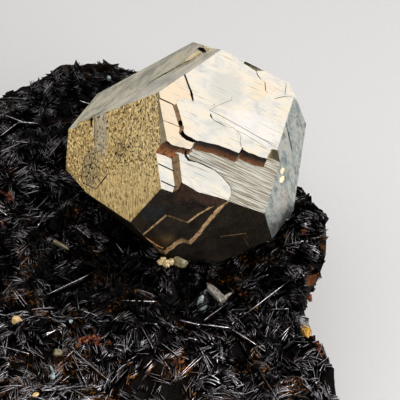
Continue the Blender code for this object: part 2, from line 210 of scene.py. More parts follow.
# Faces that cut the corners: direction, and distance from the centre in mm
CORNERS = {
    "right_corner": ((-3, -2, 3), 13.9),
    "foot_corner": ((-1, -2, -1), 14.0),
    "worn_edge": ((-3.7, 8.4, -3.9), 13.4),
    "left_corner": ((6.4, -0.4, -7.6), 10.3),
}
# How thick the growth layers lie on a face, in mm
LAYERS = {"bright": 1.92, "crown": 1.6, "crown_far": 1.6, "lower": 0.54}


def face_frame(name):
    """The (u, v, normal) directions of a crystal face, in the crystal's axes."""
    miller, axis, _, tilt = FACES.get(name) or VICINAL[name]
    normal = Vector(miller).normalized()
    along = AXES[axis]
    across = along.cross(normal)
    normal = normal + across * math.tan(math.radians(tilt[0]))
    normal = (normal + along * math.tan(math.radians(tilt[1]))).normalized()
    across = (across - normal * across.dot(normal)).normalized()
    return across, normal.cross(across), normal


turn = CRYSTAL_TURN.to_matrix()
crystal_planes = [(turn @ face_frame(name)[2], (FACES[name][2] + LAYERS.get(name, 0)) * MM)
                  for name in FACES]
crystal_planes += [(turn @ Vector(miller).normalized(), far * MM)
                   for miller, far in CORNERS.values()]
plane_normals = np.array([list(normal) for normal, _ in crystal_planes])
plane_reach = np.array([reach for _, reach in crystal_planes])


def depth_in_crystal(points):
    """How deep points lie inside the crystal's hull in metres; below zero is outside."""
    out = (np.asarray(points) - np.array(CRYSTAL_CENTRE)) @ plane_normals.T
    return (plane_reach - out).min(axis=1)


def crystal_underside(x, y):
    """Height of the crystal's underside over a place in metres, or None beside it."""
    low, high = -1.0, 1.0
    spot = Vector((x, y, 0)) - CRYSTAL_CENTRE
    for normal, reach in crystal_planes:
        rest = reach - normal.x * spot.x - normal.y * spot.y
        level = rest / normal.z + CRYSTAL_CENTRE.z
        if normal.z > 0:
            high = min(high, level)
        else:
            low = max(low, level)
    return low if low < high else None


# ------------------------------------------------------------
# The rock. It is a hand-sized slab of massive hematite, broken out of the vein: lumpy and
# almost black on top, with rough sides that iron oxide has stained orange and brown.
# It was sawn flat underneath.
ROCK_BLACK = "#0b0909"
ROCK_BROWN = "#120c0a"
RUST_ORANGE = "#6e3c18"
RUST_RED = "#5c2416"
RUST_YELLOW = "#80602e"
CLOD = 1.6 * MM  # lumps of the broken surface
GRIT = 0.35 * MM  # crystal grain of the massive ore
RUST_PATCH = 5.0 * MM

# The broken outline seen from above: direction in degrees from +X and reach in mm
OUTLINE = [
    (3, 27.8), (9, 28.0), (12, 26.4), (20, 27.0), (23, 26.2), (31, 27.4), (44, 31.5), (57, 33.3),
    (69, 34.2), (82, 34.4), (93, 33.8), (98, 32.5), (104, 31.2), (110, 30.4), (122, 31.0), (134, 33.0),
    (146, 31.8), (158, 29.5), (172, 28.3), (184, 28.0), (196, 29.6), (212, 33.0), (225, 36.5), (236, 36.8),
    (250, 34.8), (262, 33.0), (276, 34.0), (290, 35.6), (302, 38.0), (311, 39.4), (318, 37.6), (324, 33.6),
    (331, 28.7), (336, 26.6), (347, 25.9), (350, 27.2), (356, 27.7),
]
SLAB_TOP = 17.4  # mean height of the upper surface in mm
GRID = 170  # cells each way on the upper surface
WALL_RINGS = 34  # rings of cells down the sides
TUCKED_IN = 0.8  # how much of its undercut the right-hand side gets
WALL_ROUGH = 0.055  # how far the sides wander, as a share of reach
# How far the sides reach at shares of the rim's height, and on the undercut right-hand side
WALL_LEVELS = (0.0, 0.2, 0.45, 0.72, 1.0)
WALL = (0.90, 0.95, 0.955, 0.985, 1.0)
UNDERCUT = (0.90, 0.90, 0.89, 0.93, 1.0)


def outline_reach(angle):
    """How far the slab reaches from its middle in a direction, in metres."""
    turned = math.degrees(angle) % 360
    last, first = OUTLINE[-1], OUTLINE[0]
    ring = [(last[0] - 360, last[1])] + OUTLINE + [(first[0] + 360, first[1])]
    for (a0, r0), (a1, r1) in zip(ring, ring[1:]):
        if a0 <= turned <= a1:
            return (r0 + (r1 - r0) * (turned - a0) / (a1 - a0)) * MM
    return OUTLINE[0][1] * MM


def bump(x, y, at, radius, height):
    """A smooth mound of given height at a place."""
    square = ((x - at[0]) ** 2 + (y - at[1]) ** 2) / radius ** 2
    return height * math.exp(-square)


def wave(x, y, z):
    """Smooth noise from -1 to 1, at a place given by its numbers."""
    return noise.noise(Vector((x, y, z)))


def slab_height(x, y):
    """Height of the upper surface in mm at a place in mm."""
    height = SLAB_TOP
    height += bump(x, y, (-3, 31), 9, 2.2)  # rim at the far edge
    height += bump(x, y, (26, 1), 4, 1.4)  # knob beside the crystal
    height += bump(x, y, (-9, 8), 9, -1.6)  # hollow left of the crystal
    height += bump(x, y, (-3, -15), 8, 1.2)  # mound on the near side
    height -= 0.002 * max(0.0, -y - 8) ** 2  # the near side falls away
    height += 2.2 * wave(x * 0.09, y * 0.09, 3.0)
    height += 1.6 * wave(x * 0.21, y * 0.21, 9.0)
    return height


def rough(point, size, seed):
    """Smooth noise from -1 to 1 whose lumps are about that size."""
    return noise.noise(point / size + Vector((seed, seed * 1.7, seed * 2.3)))


def side_point(angle, level):
    """A point of the broken side, at a share of the rim's height."""
    reach = outline_reach(angle)
    x, y = math.cos(angle) * reach, math.sin(angle) * reach
    height = slab_height(x / MM, y / MM) * MM * level
    share = np.interp(level, WALL_LEVELS, WALL)
    spot = Vector((x, y, height))
    wander = noise.noise(spot * 130) + 0.7 * noise.noise(spot * 330)  # lumps of 8 and 3 mm
    ledge = 0.35 * rough(spot, CLOD, 3) + 0.12 * rough(spot, GRIT, 5)
    fade = min(1.0, (1 - level) * 12)
    share += WALL_ROUGH * fade * (wander + ledge)
    tucked = max(0.0, share - np.interp(level, WALL_LEVELS, UNDERCUT))
    share -= TUCKED_IN * max(0.0, math.cos(angle)) ** 8 * tucked
    return Vector((x * share, y * share, height))


bm = bmesh.new()
bmesh.ops.create_grid(bm, x_segments=GRID, y_segments=GRID, size=1.0)
rim = [edge for edge in bm.edges if edge.is_boundary]
for vert in bm.verts:
    s, t = vert.co.x, vert.co.y
    x, y = s * math.sqrt(1 - t * t / 2), t * math.sqrt(1 - s * s / 2)
    reach = outline_reach(math.atan2(y, x))
    x, y = x * reach, y * reach
    z = slab_height(x / MM, y / MM) * MM
    spot = Vector((x, y, z))
    z += 0.45 * MM * rough(spot, CLOD, 1) + 0.12 * MM * rough(spot, GRIT * 1.6, 2)
    under = crystal_underside(x, y)
    if under is not None:
        z = min(z, under - SEAT_GAP)
    vert.co = (x, y, z)
for ring in range(1, WALL_RINGS + 1):
    grown = bmesh.ops.extrude_edge_only(bm, edges=rim)["geom"]
    rim = [item for item in grown if isinstance(item, bmesh.types.BMEdge)]
    level = 1 - ring / WALL_RINGS
    for vert in {vert for edge in rim for vert in edge.verts}:
        vert.co = side_point(math.atan2(vert.co.y, vert.co.x), level)
bmesh.ops.contextual_create(bm, geom=rim)
bmesh.ops.recalc_face_normals(bm, faces=bm.faces[:])

# massive hematite ore, broken: black and hardly shiny, with patches of matt rust that lie
# most of all on its steep sides
rock_mat, tree, shader = new_material("massive_hematite", Specular_IOR_Level=0.06)
place = add(tree, "TexCoord").outputs["Object"]
facing = add(tree, "NewGeometry").outputs["Normal"]
sides = add(tree, "SeparateXYZ", {0: facing}).outputs["Z"]
patch = add(tree, "TexNoise", {"Vector": place, "Scale": 1 / RUST_PATCH, "Detail": 6.0, "Roughness": 0.62})
grit = add(tree, "TexNoise", {"Vector": place, "Scale": 1 / GRIT, "Detail": 4.0, "Roughness": 0.6})
stone = add(tree, "Mix", {0: grit, 6: ROCK_BLACK, 7: ROCK_BROWN}, data_type="RGBA")
rust = add(tree, "ValToRGB", {0: grit}, [(0.34, RUST_RED), (0.52, RUST_ORANGE), (0.72, RUST_YELLOW)])
steep = add(tree, "MapRange", {0: sides, 1: 0.75, 2: 0.1, 3: 0.0, 4: 0.14})
stain = add(tree, "Math", {0: patch, 1: steep}, operation="ADD")
amount = add(tree, "MapRange", {0: stain, 1: 0.66, 2: 0.80})
skin = add(tree, "Mix", {0: amount, 6: stone, 7: rust}, data_type="RGBA")
gloss = add(tree, "MapRange", {0: amount, 3: 0.6, 4: 0.9})
relief = add(tree, "Bump", {"Strength": 0.7, "Distance": 0.25 * MM, "Height": grit})
connect(shader, {"Base Color": skin, "Roughness": gloss, "Normal": relief})
rock = new_object("hematite_rock", bm, rock_mat)
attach(rock, "root")
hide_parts("hematite_matrix")

# ------------------------------------------------------------
# The hematite blades. Thin plates of specular hematite stand on edge all over the rock, in
# books of parallel or slightly fanned leaves. They are black and shine like polished steel
# where a leaf faces the light; the bright line along each thin top edge is a painted highlight.
BLADE_SEED = 11
BOOKS = 6100
BOOKS_ON_SIDES = 700
BOOKS_PER_PIECE = 900
LEAVES = (1, 5)  # leaves in a book
THICK_BOOK = (6, 11)  # and in one of the thick books
THICK_SHARE = 0.07
LEAF_LENGTH = (0.7, 4.0, 1.3)  # mm: least, most, usual
LEAF_RISE = (0.3, 1.2)  # mm that a leaf stands proud
LEAF_THICK = (0.03, 0.05)  # mm
LEAF_GAP = (0.11, 0.30)  # mm from leaf to leaf
ROOT = 1.2 * MM  # how deep a leaf goes into the rock
# the painted highlight on the leaves' top edges, tarnished in places, and the leaves' own black
PAINTED_GLINT = "#e6e5ea"
PAINTED_GLINT_TARNISHED = "#9a7f78"
STEEL_DARK = "#0c0b0c"
LEAF_RUST = "#4f2415"
LEAF_OCHRE = "#a2661e"
# above this share of its height a leaf's edge is painted steel-white, as a highlight
EDGE_FROM = 0.96  # share of a leaf's height where its edge shines
GLINT_BREAKS = 2.0 * MM
RUST_GRAIN = 0.3 * MM
LEAF_COLUMNS = 4
CLEAR_OF_CRYSTAL = 0.05 * MM
OVERHANG = 0.5 * MM  # how far a leaf may stand out past the rim
LONG_RISE = 1.2  # mm that the long leaves stand proud
LONG_THICK = 0.05 * MM
# Long leaves that catch the light: both ends in mm, seen from above
LONG_LEAVES = [
    (-4.6, -9.3, 0.6, -4.8), (-1.2, -9.9, -0.8, -13.0), (-0.8, -13.0, 1.4, -15.4), (4.1, -12.9, 8.0, -12.3),
    (16.5, -15.1, 18.1, -12.1), (18.1, -12.1, 23.3, -7.6), (13.2, -14.0, 16.0, -10.8),
    (20.9, -11.7, 22.9, -12.4), (10.6, -15.0, 12.8, -15.4), (12.8, -15.4, 16.1, -15.7),
    (16.1, -15.7, 19.2, -17.1), (19.2, -17.1, 20.2, -17.7), (21.8, -15.3, 23.6, -13.8),
    (18.9, -19.9, 21.3, -27.5), (10.7, -22.7, 13.0, -20.1), (2.8, 0.1, 3.9, -2.5),
    (-1.6, -19.6, 0.2, -23.3), (-1.3, -19.7, 3.0, -23.0), (6.4, -17.2, 7.7, -19.7),
    (8.3, -18.6, 10.4, -20.6), (10.4, -23.1, 13.7, -19.6), (-6.5, 4.2, -5.1, 7.4),
    (-9.3, -19.1, -6.0, -20.3), (-8.7, -9.2, -7.0, -12.5), (-8.4, -9.3, -6.8, -12.0),
    (-1.8, 2.2, -0.1, 0.3), (-2.2, 24.7, -0.7, 24.5), (-11.6, 23.1, -9.2, 22.3), (-12.0, 20.3, -9.7, 22.4),
    (-9.9, 22.3, -7.2, 22.4),
]


def joined_mesh(name, verts, quads, attributes):
    """A mesh from arrays of points and quads, with one number per point for each attribute."""
    mesh = bpy.data.meshes.new(name)
    mesh.vertices.add(len(verts))
    mesh.vertices.foreach_set("co", np.asarray(verts, np.float32).ravel())
    mesh.loops.add(quads.size)
    mesh.loops.foreach_set("vertex_index", quads.ravel().astype(np.int32))
    mesh.polygons.add(len(quads))
    mesh.polygons.foreach_set("loop_start", np.arange(0, quads.size, 4, dtype=np.int32))
    for key, values in attributes.items():
        layer = mesh.attributes.new(key, "FLOAT", "POINT")
        layer.data.foreach_set("value", np.asarray(values, np.float32))
    mesh.update(calc_edges=True)
    mesh.validate()
    return mesh


def leaf_quads():
    """The quads of one leaf: two rows of columns on the front, and the same on the back."""
    n = LEAF_COLUMNS
    front_low, front_top = range(n), range(n, 2 * n)
    back_low, back_top = range(2 * n, 3 * n), range(3 * n, 4 * n)
    quads = []
    for i in range(n - 1):
        quads.append((front_low[i], front_low[i + 1], front_top[i + 1], front_top[i]))
        quads.append((back_low[i + 1], back_low[i], back_top[i], back_top[i + 1]))
        quads.append((front_top[i], front_top[i + 1], back_top[i + 1], back_top[i]))
        quads.append((front_low[i + 1], front_low[i], back_low[i], back_low[i + 1]))
    quads.append((front_low[0], front_top[0], back_top[0], back_low[0]))
    quads.append((front_low[-1], back_low[-1], back_top[-1], front_top[-1]))
    return np.array(quads)


def leaf_points(origin, along, up, length, rise, thick, bend, rng, unevenness=0.3):
    """The points of one leaf. It stands along a direction, rooted below the surface."""
    across = along.cross(up).normalized()
    points = []
    ends = [rng.uniform(1 - unevenness, 1 - unevenness / 4), rng.uniform(0.9, 1.0), rng.uniform(0.9, 1.0),
            rng.uniform(1 - unevenness, 1 - unevenness / 4)]
    columns = [-0.5, rng.uniform(-0.3, -0.1), rng.uniform(0.1, 0.3), 0.5]
    for side in (1, -1):
        for row in (0, 1):
            for column, tall in zip(columns, ends):
                sideways = bend * length * (column * column - 0.1)
                edge = 0.5 * thick * side * (0.45 if row else 1.0)  # thinner at the top
                level = rise * tall if row else -ROOT
                reach = column * length * (1.0 if row else 0.8)  # and narrower at the root
                points.append(origin + along * reach + across * (sideways + edge) + up * level)
    return points


def surface_normal(x, y):
    """The upper surface's normal at a place in mm."""
    step = 1.0
    dx = slab_height(x + step, y) - slab_height(x - step, y)
    dy = slab_height(x, y + step) - slab_height(x, y - step)
    return Vector((-dx, -dy, 2 * step)).normalized()


def clamp(value):
    """A value kept within 0 and 1."""
    return min(1.0, max(0.0, value))


def painted_glint_level(place):
    """How strong the painted highlights on the leaves' edges are at a place: painted light that is
    strongest on the near side, a little stronger at the back and out to the left and right, and varies in
    patches.
    """
    x, y = place.x / MM, place.y / MM
    wander = 7 * wave(x * 0.13, y * 0.13, 50.0)
    near = clamp((-y - 12 + wander) / 9)
    far = clamp((y + 4) / 14)
    sides = clamp((abs(x - 8) - 9) / 6)
    patch = noise.noise(Vector((place.x, place.y, 0)) * 140 + Vector((0, 0, 40)))
    return 0.04 + 1.55 * near + 0.20 * far + 0.36 * sides + 0.42 * patch


def over_rim(points):
    """Whether a leaf's top corners stand out past the slab's rim."""
    return any(point.xy.length > outline_reach(math.atan2(point.y, point.x)) + OVERHANG
               for point in (points[LEAF_COLUMNS], points[2 * LEAF_COLUMNS - 1]))


def plant_book(leaves, place, up, heading, rng, scale=1.0):
    """A book of leaves on the surface: each leaf gets a slightly turned and shifted seat."""
    side = Vector((-math.sin(heading), math.cos(heading), 0))
    ahead = side.cross(up).normalized()
    side = up.cross(ahead).normalized()
    leaves_here = rng.randint(*(THICK_BOOK if rng.random() < THICK_SHARE else LEAVES))
    gap = rng.uniform(*LEAF_GAP) * MM
    length = rng.triangular(*LEAF_LENGTH) * MM * scale
    far = clamp((place.y / MM - 14) / 10)
    rise = rng.uniform(*LEAF_RISE) * MM * (0.5 + 0.5 * scale) * (1 - 0.55 * far)
    fan = rng.uniform(-0.10, 0.10)
    lean = rng.gauss(0, 0.3)
    bend = rng.uniform(-0.01, 0.01)
    # the strength of the book's painted highlights: most books dim, a few bright
    shade = (0.15 + 0.95 * rng.random() ** 2) * painted_glint_level(place)
    for index in range(leaves_here):
        step = index - (leaves_here - 1) / 2
        turned = fan * step + rng.gauss(0, 0.13)
        tilt = lean + 0.04 * step * rng.choice((1, 1, -1)) + rng.gauss(0, 0.05)
        along = (Matrix.Rotation(turned, 3, up) @ ahead).normalized()
        stand = (Matrix.Rotation(tilt, 3, along) @ up).normalized()
        shift = ahead * rng.gauss(0, 0.12) * length
        seat = place + side * gap * step + shift
        size = length * rng.uniform(0.5, 1.15)
        tall = rise * rng.uniform(0.6, 1.1)
        thick = rng.uniform(*LEAF_THICK) * MM
        points = leaf_points(seat, along, stand, size, tall, thick, bend, rng)
        if depth_in_crystal(points).max() < -CLEAR_OF_CRYSTAL and not over_rim(points):
            leaves.append((points, shade * (0.2 + 0.8 * rng.random())))


# books all over the upper surface, then the long leaves, then small books on the sides
rng = random.Random(BLADE_SEED)
books = []
while len(books) < BOOKS:
    angle = rng.uniform(0, 2 * math.pi)
    reach = outline_reach(angle) * math.sqrt(rng.uniform(0.0, 0.97))
    x, y = math.cos(angle) * reach / MM, math.sin(angle) * reach / MM
    under = crystal_underside(x * MM, y * MM)
    if under is not None and under < slab_height(x, y) * MM:
        continue
    leaves = []
    seat = Vector((x, y, slab_height(x, y))) * MM
    flow = 3.0 * wave(x * 0.10, y * 0.10, 21.0) * math.pi
    heading = flow + rng.gauss(0, 0.6)
    plant_book(leaves, seat, surface_normal(x, y), heading, rng)
    books.append(leaves)
for x0, y0, x1, y1 in LONG_LEAVES:
    start = Vector((x0, y0, slab_height(x0, y0) + LONG_RISE)) * MM
    end = Vector((x1, y1, slab_height(x1, y1) + LONG_RISE)) * MM
    rise = rng.uniform(0.9, 1.1) * MM
    points = leaf_points((start + end) / 2 - Vector((0, 0, rise)), (end - start).normalized(),
                         Vector((0, 0, 1)), (end - start).length, rise, LONG_THICK, 0.0, rng,
                         unevenness=0.15)
    if depth_in_crystal(points).max() < 0:
        # a long leaf gets a strong painted highlight
        books.append([(points, rng.uniform(0.7, 1.0))])
for _ in range(BOOKS_ON_SIDES):
    angle = rng.uniform(0, 2 * math.pi)
    level = rng.uniform(0.12, 0.9)
    seat = side_point(angle, level)
    up = Vector((math.cos(angle), math.sin(angle), 0.25)).normalized()
    leaves = []
    plant_book(leaves, seat, up, angle + rng.uniform(0, math.pi), rng, scale=0.38)
    books.append(leaves)

# specular hematite, a natural mirror: black leaves with a steel-white painted highlight along
# their top edges, and dull red-brown rust where water stood between them
blade_mat, tree, shader = new_material("specular_hematite", Metallic=1.0)
place = add(tree, "TexCoord").outputs["Object"]
shade = add(tree, "Attribute", attribute_name="shade").outputs["Fac"]
rise = add(tree, "Attribute", attribute_name="rise").outputs["Fac"]
patch = add(tree, "TexNoise", {"Vector": place, "Scale": 1 / RUST_PATCH, "Detail": 6.0, "Roughness": 0.62})
grit = add(tree, "TexNoise", {"Vector": place, "Scale": 1 / RUST_GRAIN, "Detail": 4.0, "Roughness": 0.6})
# painted highlight: a thin strip at the top of each leaf is painted steel-white, as strongly as its shade
# says
edge = add(tree, "MapRange", {0: rise, 1: EDGE_FROM, 2: 1.0})
# painted highlight: noise breaks up the bright strip along a leaf's edge, so that it glints only in places
unevenness = add(tree, "TexNoise", {"Vector": place, "Scale": 1 / GLINT_BREAKS, "Detail": 2.0})
bright = add(tree, "Math", {0: unevenness, 1: 1.2, 2: -0.6}, operation="MULTIPLY_ADD")
bright = add(tree, "Math", {0: bright, 1: shade}, operation="ADD")
painted_glint_share = add(tree, "MapRange", {0: bright, 1: 0.06, 2: 0.66})
glint = add(tree, "Math", {0: edge, 1: painted_glint_share}, operation="MULTIPLY")
tarnish = add(tree, "MapRange", {0: grit, 1: 0.48, 2: 0.62})
glint_tone = add(tree, "Mix", {0: tarnish, 6: PAINTED_GLINT, 7: PAINTED_GLINT_TARNISHED}, data_type="RGBA")
metal = add(tree, "Mix", {0: glint, 6: STEEL_DARK, 7: glint_tone}, data_type="RGBA")
stain = add(tree, "Math", {0: grit, 1: 0.8, 2: patch}, operation="MULTIPLY_ADD")
# the near side is rustier than the hollows under the crystal
north = add(tree, "SeparateXYZ", {0: place}).outputs["Y"]
nearer = add(tree, "MapRange", {0: north, 1: -9 * MM, 2: -23 * MM, 3: -0.03, 4: 0.07})
stain = add(tree, "Math", {0: stain, 1: nearer}, operation="ADD")
stained = add(tree, "MapRange", {0: stain, 1: 1.03, 2: 1.18, 4: 0.75})
dull = add(tree, "Math", {0: stained, 1: glint}, operation="SUBTRACT", use_clamp=True)
earth = add(tree, "Mix", {0: tarnish, 6: LEAF_RUST, 7: LEAF_OCHRE}, data_type="RGBA")
skin = add(tree, "Mix", {0: dull, 6: metal, 7: earth}, data_type="RGBA")
gloss = add(tree, "MapRange", {0: dull, 3: 0.28, 4: 0.8})
connect(shader, {"Base Color": skin, "Roughness": gloss})

quads = leaf_quads()
for start in range(0, len(books), BOOKS_PER_PIECE):
    points, faces, shades, rises = [], [], [], []
    for leaf, tone in (item for book in books[start:start + BOOKS_PER_PIECE] for item in book):
        faces.append(quads + len(points))
        points.extend(leaf)
        shades.extend([tone] * len(leaf))
        rises.extend(([0.0] * LEAF_COLUMNS + [1.0] * LEAF_COLUMNS) * 2)
    name = "hematite_blades_%d" % (start // BOOKS_PER_PIECE + 1)
    mesh = joined_mesh(name, [tuple(point) for point in points], np.concatenate(faces),
                       {"shade": shades, "rise": rises})
    blades = new_object(name, mesh, blade_mat)
    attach(blades, "root")

# ------------------------------------------------------------
# The pyrite crystal. It is solid iron sulphide, grown face by face in thin layers, so the
# faces carry terraces, open sutures and fine striae. Clean faces shine like pale brass, one
# is granular with tiny pits, and the broken ledges are coated with brown iron oxide.
CRYSTAL_SEED = 4
BLANK_SIDE = 60 * MM
SUTURE_BLACK = "#120c08"
CRUST_BLOTCH = 0.5 * MM
KINK_GAP = 0.45  # mm from kink to kink of a broken ledge
LONGEST_RUN = 6.5  # sides of an outline that are longer lie outside the face, in mm
CUT_ABOVE = 4.0  # how far a cut reaches above the face, in mm
SAME_PLANE = 0.9998  # cosine of the angle within which a polygon belongs to a face
UPRIGHT = (0.0, 0.0)  # a ledge's lean: how far it runs sideways for each mm it goes down
FAR = 16  # past the face's edge, in mm

# Growth layers: face, level in mm above the face plane, lean of the ledge, its finish, how
# ragged it is in mm, and the outline in the face's frame (u along the striae, v across).
LEDGES = [
    ("bright", 1.68, UPRIGHT, "ledge", 0.05, [
        (-7.0, 4.9), (-6.19, 3.5), (-5.37, 2.5), (-4.76, 1.85), (-4.23, 0.99), (-4.1, 0.7), (-4.9, 0.62),
        (-5.8, 0.12), (-6.0, -0.7), (-6.4, -1.0), (-FAR, -1.0), (-FAR, 4.9)]),
    ("bright", 1.55, (-1.0, -0.45), "ledge", 0.04, [
        (-FAR, -0.45), (-6.1, -0.45), (-5.85, -0.5), (-5.3, -1.17), (-4.87, -1.77), (-4.54, -2.25),
        (-4.09, -2.84), (-3.98, -3.43), (-3.61, -3.65), (-2.78, -3.65), (-1.95, -3.7), (-1.9, -8.0),
        (-FAR, -8.0)]),
    ("bright", 1.74, UPRIGHT, "pyrite", 0.05, [
        (-0.4, 7.95), (0.61, 7.9), (1.58, 7.7), (1.88, 7.37), (2.96, 6.91), (3.34, 6.02), (3.96, 5.75),
        (4.72, 5.55), (5.13, 5.92), (5.87, 6.46), (6.8, 6.92), (FAR, 6.9), (FAR, FAR), (-0.4, FAR)]),
    ("bright", 1.4, UPRIGHT, "tan", 0.0, [
        (5.72, FAR), (6.0, 6.95), (6.62, 6.85), (FAR, 6.4), (FAR, FAR)]),
    ("bright", 0.62, (0.15, -0.46), "ledge", 0.05, [
        (-2.53, -4.61), (-2.2, -4.0), (-1.92, -3.57), (-1.07, -3.42), (0.03, -3.15), (0.9, -3.05),
        (1.77, -2.95), (2.88, -2.91), (3.06, -2.7), (3.12, -2.28), (3.67, -2.34), (4.54, -2.24),
        (5.15, -2.26), (6.22, -2.06), (6.3, -0.73), (6.84, -0.54), (FAR, -0.5), (FAR, -18), (3.6, -18),
        (3.7, -7.9), (3.77, -7.31), (3.67, -6.72), (3.41, -6.05), (2.8, -5.78), (2.13, -5.39),
        (1.52, -5.12), (1.1, -5.0), (0.06, -5.03), (-0.49, -4.97), (-1.28, -5.04), (-2.1, -5.13)]),
    ("bright", 0.78, (0.0, -0.5), "ledge", 0.04, [
        (-FAR, -5.4), (-4.2, -5.4), (-3.6, -4.97), (-2.27, -4.59), (-2.09, -4.17), (-2.17, -3.7),
        (-1.6, -3.75), (-1.2, -3.9), (3.0, -3.4), (6.5, -2.9), (FAR, -2.5), (FAR, -18), (-FAR, -18)]),
    ("bright", 0.0, (-0.65, -0.66), "ledge", 0.04, [
        (-FAR, -4.5), (-5.6, -4.7), (-5.04, -4.88), (-4.45, -5.07), (-3.95, -5.01), (-3.53, -4.94),
        (-2.66, -4.93), (-2.14, -5.96), (-1.68, -6.85), (-1.3, -7.62), (-1.15, -8.1), (-0.9, -18),
        (-FAR, -18)]),
    ("bright", -2.5, (0.0, -0.9), "dark", 0.04, [
        (-1.95, -7.7), (-1.47, -7.78), (-0.69, -7.88), (0.39, -8.0), (1.79, -7.72), (3.06, -7.51),
        (3.86, -7.44), (4.2, -18), (-2.0, -18)]),
    ("crown_far", 0.0, UPRIGHT, "pyrite", 0.04, [
        (12.0, -8.0), (8.0, -6.6), (5.34, -5.2), (3.66, -4.35), (3.51, -3.41), (1.58, -1.41), (-0.94, 1.13),
        (-2.84, 3.67), (-4.28, 5.91), (-6.3, 9.4), (-8.5, 13.2), (-8.5, 20), (20, 20), (20, -10),
        (12, -10)]),
    ("crown", 0.0, UPRIGHT, "pyrite", 0.03, [
        (12.3, -7.8), (8.2, -6.4), (5.59, -5.0), (3.91, -4.2), (3.76, -3.26), (1.83, -1.26), (-0.69, 1.28),
        (-2.59, 3.82), (-4.03, 6.06), (-6.05, 9.55), (-8.2, 13.3), (-8.2, 20), (-20, 20), (-20, -20),
        (12.3, -20)]),
    ("lower", 0.42, (-0.9, -2.4), "band", 0.02, [
        (-FAR, 3.1), (-3.58, 3.12), (0.34, 3.42), (0.55, 3.0), (1.23, 1.33), (1.42, 0.99), (3.25, 1.04),
        (5.49, 0.81), (6.6, 0.7), (6.6, -FAR), (-FAR, -FAR)]),
    ("lower", 0.0, (-1.4, -1.9), "band", 0.06, [
        (FAR, 1.2), (6.9, 0.62), (6.26, 0.47), (3.32, -0.23), (0.3, -0.98), (-0.45, -1.06), (-0.82, -0.23),
        (-1.35, -0.09), (-3.78, -0.21), (-3.96, 0.54), (-4.18, 3.22), (-3.81, 5.14), (-3.6, 6.6),
        (-FAR, 7.0), (-FAR, -FAR), (FAR, -FAR)]),
]
